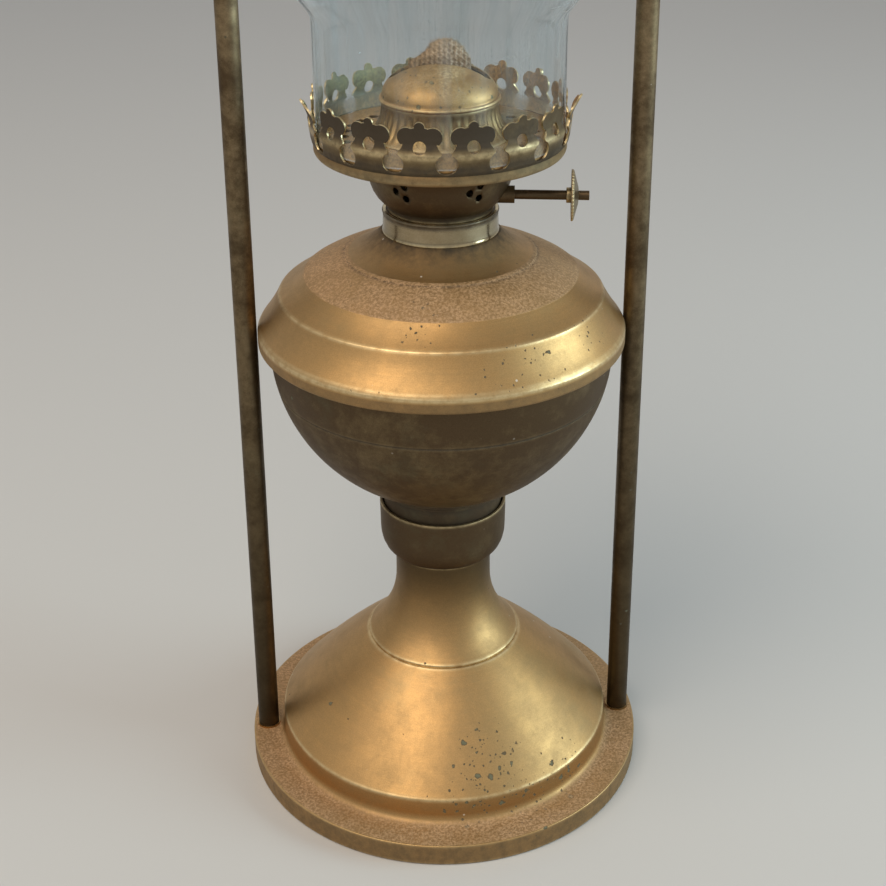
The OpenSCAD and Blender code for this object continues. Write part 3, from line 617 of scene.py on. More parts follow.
def build_pits(tree, given):
    """Eaten spots with a dark rim round a green heart, thick where the mesh says and scarce elsewhere"""
    region = add(tree, "ShaderNodeAttribute", attribute_name="spots").outputs["Fac"]
    masks, hearts = [], []
    for scale, size, shift, share in ((215.0, 0.34, 0.13, given["Large"]), (560.0, 0.34, 0.61, 1.0)):
        weighed = maths(tree, "MULTIPLY", maths(tree, "MULTIPLY", region, given["Thick"]), share)
        chance = maths(tree, "ADD", given["Scarce"], weighed)
        wobble = add(
            tree,
            "ShaderNodeVectorMath",
            {0: place(tree, offset=(shift, shift * 2, shift * 3))},
            operation="ADD",
        )
        bend = add(tree, "ShaderNodeTexNoise", {"Vector": place(tree), "Scale": scale * 2.2}).outputs["Color"]
        small = add(tree, "ShaderNodeVectorMath", {0: bend, "Scale": 0.5 / scale}, operation="SCALE").outputs[0]
        tree.links.new(small, wobble.inputs[1])
        cells = {"Vector": wobble.outputs[0], "Scale": scale, "Randomness": 1.0}
        nearest = add(tree, "ShaderNodeTexVoronoi", cells)
        draw = add(tree, "ShaderNodeSeparateColor", {0: nearest.outputs["Color"]}).outputs
        taken = maths(tree, "LESS_THAN", draw[0], chance)
        reach = maths(tree, "MULTIPLY", ramp(tree, draw[1], 0.0, 1.0, 0.4, 1.0), size)
        inside = maths(tree, "SUBTRACT", reach, nearest.outputs["Distance"])
        masks.append(maths(tree, "MULTIPLY", ramp(tree, inside, 0.0, 0.07), taken))
        hearts.append(maths(tree, "MULTIPLY", ramp(tree, inside, 0.07, 0.15), taken))
    return {"Mask": maths(tree, "MAXIMUM", masks[0], masks[1]), "Heart": hearts[0]}


def pits():
    return group(
        "Pits",
        [("Scarce", FLOAT, 0.02), ("Thick", FLOAT, 0.3), ("Large", FLOAT, 0.5)],
        [("Mask", FLOAT), ("Heart", FLOAT)],
        build_pits,
    )


def build_streaks(tree, given):
    """Soft and sharp streaks that run up a tube or a glass"""
    spot = add(tree, "ShaderNodeSeparateXYZ", {0: add(tree, "ShaderNodeTexCoord").outputs["Object"]}).outputs
    around = maths(tree, "ARCTAN2", spot["Y"], spot["X"])
    turn = maths(tree, "MULTIPLY", around, given["Across"])
    climb = maths(tree, "MULTIPLY", spot["Z"], given["Along"])
    lines = add(tree, "ShaderNodeCombineXYZ", {0: maths(tree, "COSINE", around), 1: turn, 2: climb}).outputs[0]
    wide = clouds(tree, lines, 1.0, detail=4.0, rough=0.6, distortion=0.3)
    fine = clouds(tree, lines, 5.0, detail=5.0, rough=0.7, distortion=0.2)
    return {"Wide": wide, "Fine": fine}


def streaks():
    return group(
        "Streaks",
        [("Across", FLOAT, 6.0), ("Along", FLOAT, 12.0)],
        [("Wide", FLOAT), ("Fine", FLOAT)],
        build_streaks,
    )


def build_brushed(tree, given):
    """Very fine grit that breaks up a reflection"""
    grit = clouds(tree, place(tree, offset=(0.44, 0.2, 0.6)), given["Scale"], detail=3.0, rough=0.7)
    dents = clouds(tree, place(tree, offset=(0.1, 0.6, 0.2)), given["Dents"], detail=3.0, rough=0.5)
    height = maths(tree, "ADD", maths(tree, "MULTIPLY", grit, 0.35), maths(tree, "MULTIPLY", dents, 1.0))
    return {"Height": height, "Grit": grit}


def brushed():
    return group(
        "Grit",
        [("Scale", FLOAT, 3200.0), ("Dents", FLOAT, 160.0)],
        [("Height", FLOAT), ("Grit", FLOAT)],
        build_brushed,
    )


def use(tree, made, **values):
    """That group placed in a material with its own values"""
    node = tree.nodes.new("ShaderNodeGroup")
    node.node_tree = made
    for key, value in values.items():
        node.inputs[key].default_value = value
    return node.outputs


def start(name):
    """A new material: its tree and its Principled shader"""
    material = bpy.data.materials.new(name)
    material.use_nodes = True
    return material, material.node_tree, material.node_tree.nodes["Principled BSDF"]


def feed(tree, shader, **sockets):
    """Feeds the shader's inputs, named with _ for a space"""
    for key, value in sockets.items():
        socket = shader.inputs[key.replace("_", " ")]
        if isinstance(value, bpy.types.NodeSocket):
            tree.links.new(value, socket)
        else:
            socket.default_value = value


def relief(tree, height, distance, normal=None):
    inputs = {"Height": height, "Distance": distance, "Strength": 1.0}
    if normal:
        inputs["Normal"] = normal
    return add(tree, "ShaderNodeBump", inputs).outputs[0]


def metal(
    name,
    clean,
    film,
    tarnish=0.5,
    drift=18.0,
    rough=(0.4, 0.56),
    wear=0.55,
    grime=0.8,
    dust=(0.25, 0.8, 0.8),
    dust_colour=None,
    spots=(0.015, 0.3, 0.5),
    soft=0.16,
    green=0.3,
    sink=None,
    lines=0.00004,
    grit=0.00003,
):
    """Aged sheet metal: drifting tarnish, tool lines, worn edges, grimy corners, dust and pits, with painted shade and
    a painted highlight where the mesh marks them.
    The dust colour may be a pair for left and right, a split that is painted light, and sink gives the height where the
    darkening towards soot is thickest, the height where it ends, and how thick it gets"""
    finish = settings().finish
    material, tree, shader = start(name)
    aged = use(tree, patina(), Clean=clean, Film=film, Scale=drift, Amount=tarnish, Softness=soft)
    turned = use(tree, lathe_lines())
    edge = use(tree, edge_wear_sheen_and_shade(), Wear=wear, Grime=grime)
    settled = use(tree, settled_dust(), Everywhere=dust[0], Ledges=dust[1], Specks=dust[2])
    eaten = use(tree, pits(), Scarce=spots[0], Thick=spots[1], Large=spots[2])
    gritty = use(tree, brushed())
    toned = blend(tree, ramp(tree, turned["Lines"], 0.35, 0.65, 0.0, 0.16), aged["Color"], film)
    spot = add(tree, "ShaderNodeSeparateXYZ", {0: place(tree)}).outputs
    # Darker by height: painted shade at the stem's top under the cup, and the tubes darker towards the bottom
    if sink:
        toned = blend(tree, ramp(tree, spot["Z"], sink[0], sink[1], sink[2], 0.0), toned, finish.soot_and_shade)
    drifts = clouds(tree, place(tree, offset=(0.8, 0.4, 0.6)), 24.0, detail=6.0, rough=0.66)
    filmed = blend(tree, ramp(tree, drifts, 0.54, 0.78, 0.0, green), toned, finish.verdigris)
    # Soot colour in grimy corners and as painted shade where the mesh marks it
    grimed = blend(tree, edge["Grime"], filmed, finish.soot_and_shade)
    # Bright wear, which also carries the painted highlight along the coronet's bulge
    worn = blend(tree, edge["Worn"], grimed, finish.bright)
    rimmed = blend(tree, maths(tree, "MULTIPLY", eaten["Mask"], 0.88), worn, finish.pit)
    pitted = blend(tree, maths(tree, "MULTIPLY", eaten["Heart"], 0.45), rimmed, finish.verdigris)
    # A pair of dust colours is split from left to right as painted light
    powder = dust_colour or finish.dust
    if isinstance(powder[0], tuple):
        powder = blend(tree, ramp(tree, spot["X"], -45 * MM, 45 * MM), *powder)
    grain = add(tree, "ShaderNodeCombineColor", {k: settled["Grain"] for k in range(3)}).outputs[0]
    dusted = blend(tree, settled["Mask"], pitted, blend(tree, 1.0, powder, grain, "MULTIPLY"))
    speck_colour = (0.66, 0.6, 0.5, 1)
    colour = blend(tree, settled["Specks"], dusted, speck_colour)
    rougher = ramp(tree, aged["Mask"], 0.0, 1.0, rough[0], rough[1])
    covered = maths(tree, "MAXIMUM", settled["Mask"], maths(tree, "MAXIMUM", edge["Grime"], eaten["Mask"]))
    full = maths(tree, "MAXIMUM", covered, settled["Specks"])
    dull = maths(tree, "MULTIPLY", full, 0.35)
    gloss = maths(tree, "MULTIPLY", edge["Worn"], -0.12)
    fine = ramp(tree, gritty["Grit"], 0.3, 0.7, -0.05, 0.05)
    summed = maths(tree, "ADD", maths(tree, "ADD", rougher, dull), maths(tree, "ADD", gloss, fine), clamp=True)
    bare = maths(tree, "SUBTRACT", 1.0, maths(tree, "MULTIPLY", full, 0.85), clamp=True)
    bumped = relief(tree, turned["Height"], lines)
    gritted = relief(tree, gritty["Height"], grit, bumped)
    sunk = maths(tree, "SUBTRACT", settled["Mask"], eaten["Mask"])
    feed(
        tree,
        shader,
        Base_Color=colour,
        Roughness=summed,
        Metallic=bare,
        Normal=relief(tree, sunk, 0.00006, gritted),
    )
    return material


def dull_material(name, colour, second, scale, rough, bump, metallic=0.0):
    """A plain rough stuff with two tones and a grainy surface: iron, steel, cork or felt"""
    material, tree, shader = start(name)
    aged = use(tree, patina(), Clean=colour, Film=second, Scale=scale)
    gritty = use(tree, brushed(), Scale=scale * 60, Dents=scale * 9)
    rougher = ramp(tree, aged["Mask"], 0.0, 1.0, rough - 0.12, rough + 0.08)
    feed(
        tree,
        shader,
        Base_Color=aged["Color"],
        Roughness=rougher,
        Metallic=metallic,
        Normal=relief(tree, gritty["Height"], bump),
    )
    return material


# Outlines and spun shells


def section(node, azimuth=CUT_AZIMUTH, place=Matrix.Identity(4)):
    """Outlines (r, z) of a CAD node where a half plane through its axis cuts it, each with True if it is closed.
    place takes the Z axis to the node's own axis."""
    bm = bmesh.new()
    bm.from_mesh(NODES[node].data)
    bm.transform(place.inverted())
    bmesh.ops.remove_doubles(bm, verts=bm.verts, dist=1e-6)
    along = Vector((math.cos(azimuth), math.sin(azimuth), 0))
    across = Vector((-math.sin(azimuth), math.cos(azimuth), 0))
    everything = bm.verts[:] + bm.edges[:] + bm.faces[:]
    bmesh.ops.bisect_plane(bm, geom=everything, plane_co=(0, 0, 0), plane_no=along, clear_inner=True)
    everything = bm.verts[:] + bm.edges[:] + bm.faces[:]
    cut = bmesh.ops.bisect_plane(bm, geom=everything, plane_co=(0, 0, 0), plane_no=across)["geom_cut"]
    links = {}
    for edge in (e for e in cut if isinstance(e, bmesh.types.BMEdge)):
        a, b = edge.verts
        links.setdefault(a, []).append(b)
        links.setdefault(b, []).append(a)
    outlines = []
    while links:
        ends = [v for v, near in links.items() if len(near) == 1]
        first = ends[0] if ends else next(iter(links))
        chain = [first]
        while True:
            here = chain[-1]
            onward = links.get(here)
            if not onward:
                links.pop(here, None)
                break
            there = onward.pop()
            links[there].remove(here)
            if not onward:
                links.pop(here)
            chain.append(there)
        closed = chain[0] is chain[-1]
        points = [(max(0.0, v.co.dot(along)), v.co.z) for v in chain]
        outlines.append((tidy_line(points, closed), closed))
    bm.free()
    if not outlines:
        raise RuntimeError(f"no outline was found where {node} was cut")
    return [o for o in outlines if len(o[0]) > 2]


def tidy_line(points, closed):
    """The line without doubled points, turned so that the metal lies on its left"""
    kept = []
    for p in points:
        if not kept or math.dist(p, kept[-1]) > 5e-6:
            kept.append(p)
    if closed and math.dist(kept[0], kept[-1]) < 5e-6:
        kept.pop()
    area = sum(a[0] * b[1] - b[0] * a[1] for a, b in zip(kept, kept[1:] + kept[:1]))
    return kept if area > 0 else kept[::-1]


def turn_at(a, b, c):
    """Angle by which the line turns left at b"""
    before = math.atan2(b[1] - a[1], b[0] - a[0])
    after = math.atan2(c[1] - b[1], c[0] - b[0])
    return (after - before + math.pi) % (2 * math.pi) - math.pi


def through(points, step):
    """Dense points of a smooth curve through points"""
    line = [Vector(p) for p in points]
    if len(line) == 2:
        count = max(2, math.ceil((line[1] - line[0]).length / step))
        return [line[0].lerp(line[1], i / count) for i in range(count + 1)]
    line = [2 * line[0] - line[1]] + line + [2 * line[-1] - line[-2]]
    found = [line[1]]
    for p0, p1, p2, p3 in zip(line, line[1:], line[2:], line[3:]):
        t0 = 0.0
        t1 = t0 + math.sqrt((p1 - p0).length)
        t2 = t1 + math.sqrt((p2 - p1).length)
        t3 = t2 + math.sqrt((p3 - p2).length)
        count = max(1, math.ceil((p2 - p1).length / step))
        for i in range(1, count + 1):
            t = t1 + (t2 - t1) * i / count
            a1 = p0 * ((t1 - t) / (t1 - t0)) + p1 * ((t - t0) / (t1 - t0))
            a2 = p1 * ((t2 - t) / (t2 - t1)) + p2 * ((t - t1) / (t2 - t1))
            a3 = p2 * ((t3 - t) / (t3 - t2)) + p3 * ((t - t2) / (t3 - t2))
            b1 = a1 * ((t2 - t) / (t2 - t0)) + a2 * ((t - t0) / (t2 - t0))
            b2 = a2 * ((t3 - t) / (t3 - t1)) + a3 * ((t - t1) / (t3 - t1))
            found.append(b1 * ((t2 - t) / (t2 - t1)) + b2 * ((t - t1) / (t2 - t1)))
    return found


def spaced(dense, start_gap, end_gap, step, graded):
    """Points along a dense line from start_gap to end_gap before its end, closer together near corners"""
    lengths = [0.0]
    for a, b in zip(dense, dense[1:]):
        lengths.append(lengths[-1] + (b - a).length)
    first, last = start_gap, lengths[-1] - end_gap
    span = last - first
    fade = [d for d in FADE_STEPS if d < span / 2] if graded else []
    inner = span - 2 * (fade[-1] if fade else 0)
    count = max(1, math.ceil(inner / step))
    base = fade[-1] if fade else 0
    marks = [0.0] + fade[:-1] + [base + inner * i / count for i in range(count + 1)]
    marks += [span - d for d in reversed(fade[:-1])]
    marks += [span]
    found, k, previous = [], 0, -1.0
    for mark in marks:
        if mark - previous < 1e-6:
            continue
        previous = mark
        at = first + mark
        while k < len(lengths) - 2 and lengths[k + 1] < at:
            k += 1
        width = lengths[k + 1] - lengths[k]
        found.append((dense[k].lerp(dense[k + 1], (at - lengths[k]) / max(width, 1e-12)), mark, span - mark))
    return found


def softened(line, closed, graded=True, corner=CORNER, full_wear=FULL_WEAR):
    """Points (r, z, wear, cove) of an outline with rounded corners and smooth stretches"""
    sizes = settings().sizes
    count = len(line)
    inner = range(count) if closed else range(1, count - 1)
    turns = {i: turn_at(line[i - 1], line[i], line[(i + 1) % count]) for i in inner}
    corners = [i for i in inner if abs(turns[i]) > corner]
    if closed and not corners:
        corners = [0]
    stops = corners + [corners[0] + count] if closed else [0] + corners + [count - 1]
    runs = []
    for a, b in zip(stops, stops[1:]):
        runs.append(([line[i % count] for i in range(a, b + 1)], a % count, b % count))
    shares = []
    for points, _, _ in runs:
        length = sum(math.dist(p, q) for p, q in zip(points, points[1:]))
        shares.append(min(sizes.edge_round, 0.32 * length))
    made = []
    for n, (points, a, b) in enumerate(runs):
        dense = through(points, 0.3 * MM)
        sharp_a = abs(turns.get(a, 0)) > corner
        sharp_b = abs(turns.get(b, 0)) > corner
        gap_a = min(shares[n], shares[n - 1]) if sharp_a else 0.0
        gap_b = min(shares[n], shares[(n + 1) % len(runs)]) if sharp_b else 0.0
        stretch = spaced(dense, gap_a, gap_b, sizes.outline_step, graded)
        for spot, from_a, from_b in stretch:
            wear = cove = 0.0
            for at, distance, sharp in ((a, from_a, sharp_a), (b, from_b, sharp_b)):
                if sharp:
                    amount = min(1.0, abs(turns[at]) / full_wear)
                    amount *= math.exp(-((distance / sizes.wear_width) ** 2))
                    if turns[at] > 0:
                        wear = max(wear, amount)
                    else:
                        cove = max(cove, math.sqrt(amount))
            made.append((spot.x, spot.y, wear, cove))
        if sharp_b and (closed or n < len(runs) - 1):
            made += round_corner(dense, line[b], turns[b], gap_b, runs[(n + 1) % len(runs)][0], full_wear)
    return made


def round_corner(dense, corner, turn, gap, onward, full_wear):
    """The points between two stretches that round the corner where they meet"""
    before = (dense[-2] - dense[-1]).normalized() * gap
    after = (Vector(onward[1]) - Vector(onward[0])).normalized() * gap
    middle = Vector(corner)
    amount = min(1.0, abs(turn) / full_wear)
    found = []
    for t in (0.3, 0.5, 0.7):
        spot = (middle + before) * (1 - t) ** 2 + middle * 2 * t * (1 - t) + (middle + after) * t**2
        found.append((spot.x, spot.y, amount if turn > 0 else 0.0, 0.0 if turn > 0 else amount))
    return found


def turns_for(radius):
    """How many facets a circle of that radius takes"""
    return int(min(208, max(48, round(2 * math.pi * radius / (2.8 * MM * 8)) * 8)))


def uneven(point, seed, amount):
    """Small push that spinning and use have given the sheet at a point"""
    at = Vector(point) * 22 + Vector((seed * 7.1, seed * 3.3, seed * 1.7))
    low = noise.noise_vector(at)
    high = noise.noise_vector(at * 3.1)
    return (low + 0.3 * high) * amount


def new_piece(name, points, faces, body, material, replaces=(), smooth=True):
    """A mesh piece that rides on body and stands for the CAD nodes in replaces"""
    mesh = bpy.data.meshes.new(name)
    mesh.from_pydata([tuple(p) for p in points], [], faces)
    mesh.update()
    mesh.polygons.foreach_set("use_smooth", [smooth] * len(mesh.polygons))
    piece = bpy.data.objects.new(name, mesh)
    bpy.context.scene.collection.objects.link(piece)
    mesh.materials.append(material)
    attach(piece, body)
    if replaces:
        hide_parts(*replaces)
    return piece


def paint(piece, name, values, domain="POINT"):
    """Writes one number per point, or per corner, of the piece for its material to read"""
    layer = piece.data.attributes.new(name, "FLOAT", domain)
    layer.data.foreach_set("value", values)


def spin(
    name,
    outlines,
    body,
    slot,
    material,
    replaces=(),
    seed=1,
    shape=None,
    amount=None,
    place=None,
    dust=None,
    grime=None,
    rubbed=None,
):
    """A shell of revolution from softened outlines. shape(angle, r, z) moves a point, dust(r, z) says how dusty it is,
    the grime function how much grime and painted shade it has, and rubbed(r, z) how much of a corner's wear it has"""
    if amount is None:
        amount = settings().sizes.unevenness
    reach = max(p[0] for outline, _ in outlines for p in outline)
    count = turns_for(reach)
    if shape:
        count = shape.count
    points, faces, wear, cove, dusty = [], [], [], [], []
    for outline, closed in outlines:
        starts = []
        for r, z, worn, hollow in outline:
            on_axis = r < 1e-6
            starts.append((len(points), on_axis))
            for j in range(1 if on_axis else count):
                angle = 2 * math.pi * j / count
                radius, height = shape(angle, r, z) if shape else (r, z)
                spot = Vector((radius * math.cos(angle), radius * math.sin(angle), height))
                push = uneven(spot, seed, amount)
                out = Vector((math.cos(angle), math.sin(angle), 0))
                spot += out * min(push.x, reach - radius) + Vector((0, 0, push.z * 0.5))
                points.append(spot)
                wear.append(worn * rubbed(r, z) if rubbed else worn)
                cove.append(max(hollow, grime(r, z)) if grime else hollow)
                dusty.append(dust(r, z) if dust else 0.0)
        pairs = list(zip(starts, starts[1:] + starts[:1])) if closed else list(zip(starts, starts[1:]))
        for (low, low_axis), (high, high_axis) in pairs:
            if low_axis and high_axis:
                continue
            for j in range(count):
                k = (j + 1) % count
                if low_axis:
                    faces.append((low, high + k, high + j))
                elif high_axis:
                    faces.append((low + j, low + k, high))
                else:
                    faces.append((low + j, low + k, high + k, high + j))
    if place:
        points = [place @ p for p in points]
    piece = new_piece(name, points, faces, body, material, replaces)
    paint(piece, "wear", wear)
    paint(piece, "cove", cove)
    paint(piece, "dust", dusty)
    return piece


def spun_node(
    node,
    name,
    slot,
    material,
    seed,
    body="stand",
    graded=True,
    corner=CORNER,
    full_wear=FULL_WEAR,
    **more,
):
    """A smooth shell that takes the place of a spun CAD node, with the node's own outline"""
    outlines = [(softened(line, closed, graded, corner, full_wear), closed) for line, closed in section(node)]
    return spin(name, outlines, body, slot, material, (node,), seed, **more)


def turned_box(node):
    """Lowest and highest corner of a node along the wick's own axes"""
    inverse = WICK_TURN.inverted()
    spots = [inverse @ v.co for v in NODES[node].data.vertices]
    low = Vector([min(s[k] for s in spots) for k in range(3)])
    high = Vector([max(s[k] for s in spots) for k in range(3)])
    return low, high


def spots_near(piece, centres):
    """Marks how close each point of a piece is to the centres (place, radius)"""
    values = []
    for vertex in piece.data.vertices:
        near = 0.0
        for centre, radius in centres:
            near = max(near, 1 - (vertex.co - Vector(centre)).length / radius)
        values.append(max(0.0, near))
    paint(piece, "spots", values)


def applied(piece):
    """Makes the piece's modifiers part of its mesh"""
    evaluated = piece.evaluated_get(bpy.context.evaluated_depsgraph_get())
    mesh = bpy.data.meshes.new_from_object(evaluated)
    piece.modifiers.clear()
    piece.data = mesh
    return piece


def cut(piece, points, faces):
    """Cuts a closed solid out of a piece"""
    mesh = bpy.data.meshes.new("cutter")
    mesh.from_pydata(points, [], faces)
    cutter = bpy.data.objects.new("cutter", mesh)
    bpy.context.scene.collection.objects.link(cutter)
    trim = piece.modifiers.new("Cut", "BOOLEAN")
    trim.object = cutter
    trim.solver = "EXACT"
    bpy.context.view_layer.update()
    applied(piece)
    bpy.data.objects.remove(cutter)


def tube_solid(start_at, end_at, radius, count):
    """Points and faces of a closed cylinder between two places"""
    direction = (end_at - start_at).normalized()
    side = direction.orthogonal().normalized()
    other = direction.cross(side)
    points = []
    for centre in (start_at, end_at):
        for i in range(count):
            a = 2 * math.pi * i / count
            points.append(centre + (side * math.cos(a) + other * math.sin(a)) * radius)
    faces = [(i, (i + 1) % count, count + (i + 1) % count, count + i) for i in range(count)]
    faces += [tuple(range(count - 1, -1, -1)), tuple(range(count, 2 * count))]
    return points, faces


def joined(solids):
    """Several closed solids as one list of points and one of faces"""
    points, faces = [], []
    for some_points, some_faces in solids:
        shift = len(points)
        points += [tuple(p) for p in some_points]
        faces += [tuple(i + shift for i in face) for face in some_faces]
    return points, faces


def dress(material, *nodes):
    """Gives CAD nodes that keep their own shape a finish"""
    for node in nodes:
        mesh = NODES[node].data
        mesh.materials.clear()
        mesh.materials.append(material)


# Finishes


def clean_brass(name, **changes):
    finish = settings().finish
    return metal(name, finish.brass, finish.thin_film, **changes)


# Brass darkened towards the shade colour: painted shade for the bowl, the cup, the boss and the basket
def painted_shade_brass(name, **changes):
    finish = settings().finish
    return metal(name, finish.tarnish, finish.shade, **changes)


# Operators


class LANTERN_OT_stage(bpy.types.Operator):
    """Camera at the photograph's place, pale floor and soft lamps"""

    bl_idname = "lantern.stage"
    bl_label = "Stage"

    def execute(self, context):
        stage = settings().stage
        scene = context.scene
        scene.view_settings.view_transform = "Standard"
        self.add_camera(scene, stage)
        self.add_floor(stage)
        self.add_world(scene, stage)
        key_warm = (1.0, 0.87, 0.72)
        fill_cool = (0.70, 0.92, 1.0)
        self.add_lamp("key_lamp", (-0.78, -0.82, 1.75), stage.key, 1.7, key_warm)
        self.add_lamp("fill_lamp", (1.5, -0.3, 0.65), stage.fill, 0.9, fill_cool)
        return {"FINISHED"}

    def add_camera(self, scene, stage):
        data = bpy.data.cameras.new("camera")
        data.sensor_width = SENSOR_MM
        data.lens = SENSOR_MM * LENS_PIXELS / PICTURE
        data.shift_x = (PICTURE / 2 - AXIS_PIXEL[0]) / PICTURE
        data.shift_y = (AXIS_PIXEL[1] - PICTURE / 2) / PICTURE
        camera = bpy.data.objects.new("camera", data)
        scene.collection.objects.link(camera)
        ahead = Vector((math.sin(stage.azimuth), math.cos(stage.azimuth), 0))
        camera.location = -ahead * stage.distance + Vector((0, 0, stage.height))
        look = ahead * math.cos(stage.pitch) - Vector((0, 0, math.sin(stage.pitch)))
        facing = look.to_track_quat("-Z", "Y").to_matrix() @ Matrix.Rotation(stage.roll, 3, "Z")
        camera.rotation_euler = facing.to_euler()
        scene.camera = camera

    def add_floor(self, stage):
        reach = 9.0
        mesh = bpy.data.meshes.new("floor")
        corners = [(-reach, -reach, 0), (reach, -reach, 0), (reach, reach, 0), (-reach, reach, 0)]
        mesh.from_pydata(corners, [], [(0, 1, 2, 3)])
        floor = bpy.data.objects.new("floor", mesh)
        bpy.context.scene.collection.objects.link(floor)
        material, tree, shader = start("Pale floor")
        tone = clouds(tree, place(tree), 3.0, detail=4.0)
        pale = blend(tree, ramp(tree, tone, 0.3, 0.7, 0.0, 0.06), stage.floor, (0.6, 0.6, 0.6, 1))
        feed(tree, shader, Base_Color=pale, Roughness=0.85)
        shader.inputs["Specular IOR Level"].default_value = 0.2
        mesh.materials.append(material)

    def add_world(self, scene, stage):
        world = bpy.data.worlds.new("surroundings")
        scene.world = world
        world.use_nodes = True
        tree = world.node_tree
        tree.nodes.clear()
        even = add(tree, "ShaderNodeBackground", {"Color": (1, 1, 1, 1), "Strength": stage.sky})
        seen = add(tree, "ShaderNodeBackground", {"Color": stage.backdrop, "Strength": 1.0})
        ray = add(tree, "ShaderNodeLightPath").outputs
        direct = maths(tree, "MAXIMUM", ray["Is Camera Ray"], ray["Is Glossy Ray"])
        shown = maths(tree, "MAXIMUM", direct, ray["Is Transmission Ray"])
        mix = add(tree, "ShaderNodeMixShader", {0: shown, 1: even.outputs[0], 2: seen.outputs[0]})
        add(tree, "ShaderNodeOutputWorld", {"Surface": mix.outputs[0]})

    def add_lamp(self, name, spot, power, size, colour):
        data = bpy.data.lights.new(name, "AREA")
        data.shape = "DISK"
        data.size = size
        data.energy = power
        data.color = colour
        lamp = bpy.data.objects.new(name, data)
        bpy.context.scene.collection.objects.link(lamp)
        target = Vector((0, 0, 0.24))
        lamp.location = spot
        lamp.rotation_euler = (target - Vector(spot)).to_track_quat("-Z", "Y").to_euler()


class LANTERN_OT_foot(bpy.types.Operator):
    """Spun foot with its dusty shelf, the waisted stem and its cup"""

    bl_idname = "lantern.foot"
    bl_label = "Foot and stem"

    def execute(self, context):
        low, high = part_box("base_shell")
        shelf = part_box("upright_left")[0].z
        brass = clean_brass(
            "Foot brass",
            tarnish=0.36,
            soft=0.27,
            rough=(0.42, 0.58),
            green=0.2,
            grime=0.6,
            dust=(0.08, 0.85, 0.8),
            spots=(0.004, 1.1, 1.0),
        )

        def dust(r, z):
            on_shelf = abs(z - shelf) < 0.8 * MM and r < high.x - 0.5 * MM
            return 1.0 if on_shelf else 0.0

        # Darker on the foot's outer rim below the shelf
        def grime(r, z):
            return 0.9 if r > high.x - 0.3 * MM and z < shelf - 0.5 * MM else 0.0

        def rubbed(r, z):
            return 0.25 if z < shelf + 3 * MM else 1.0

        foot = spun_node(
            "base_shell", "foot_shell", "brass_shell", brass, 1, dust=dust, grime=grime, rubbed=rubbed
        )
        front = -1.31
        at = Vector((math.cos(front), math.sin(front), 0))
        spots_near(
            foot,
            [
                (at * 63 * MM + Vector((0, 0, 33 * MM)), 20 * MM),
                (at * 72 * MM + Vector((14 * MM, 0, 21 * MM)), 22 * MM),
                (at * 72 * MM + Vector((-10 * MM, 0, 20 * MM)), 16 * MM),
                (at * 72 * MM + Vector((34 * MM, 12 * MM, 21 * MM)), 16 * MM),
            ],
        )
        stem_low, stem_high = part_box("stem")
        # The stem's top, under the cup, gets painted shade
        stem_brass = clean_brass(
            "Stem brass",
            tarnish=0.55,
            soft=0.3,
            dust=(0.1, 0.0, 0.5),
            spots=(0.004, 0.0, 0.0),
            sink=(stem_high.z, stem_low.z + 6 * MM, 0.82),
        )
        spun_node("stem", "stem_flare", "brass_shell", stem_brass, 2)
        # The cup is darkened as painted shade
        cup_shade_brass = painted_shade_brass(
            "Cup brass", tarnish=0.95, soft=0.3, wear=0.35, dust=(0.05, 0.0, 0.5), spots=(0.004, 0.0, 0.0)
        )
        spun_node("stem_cup", "stem_cup_shell", "brass_shell", cup_shade_brass, 3)
        return {"FINISHED"}


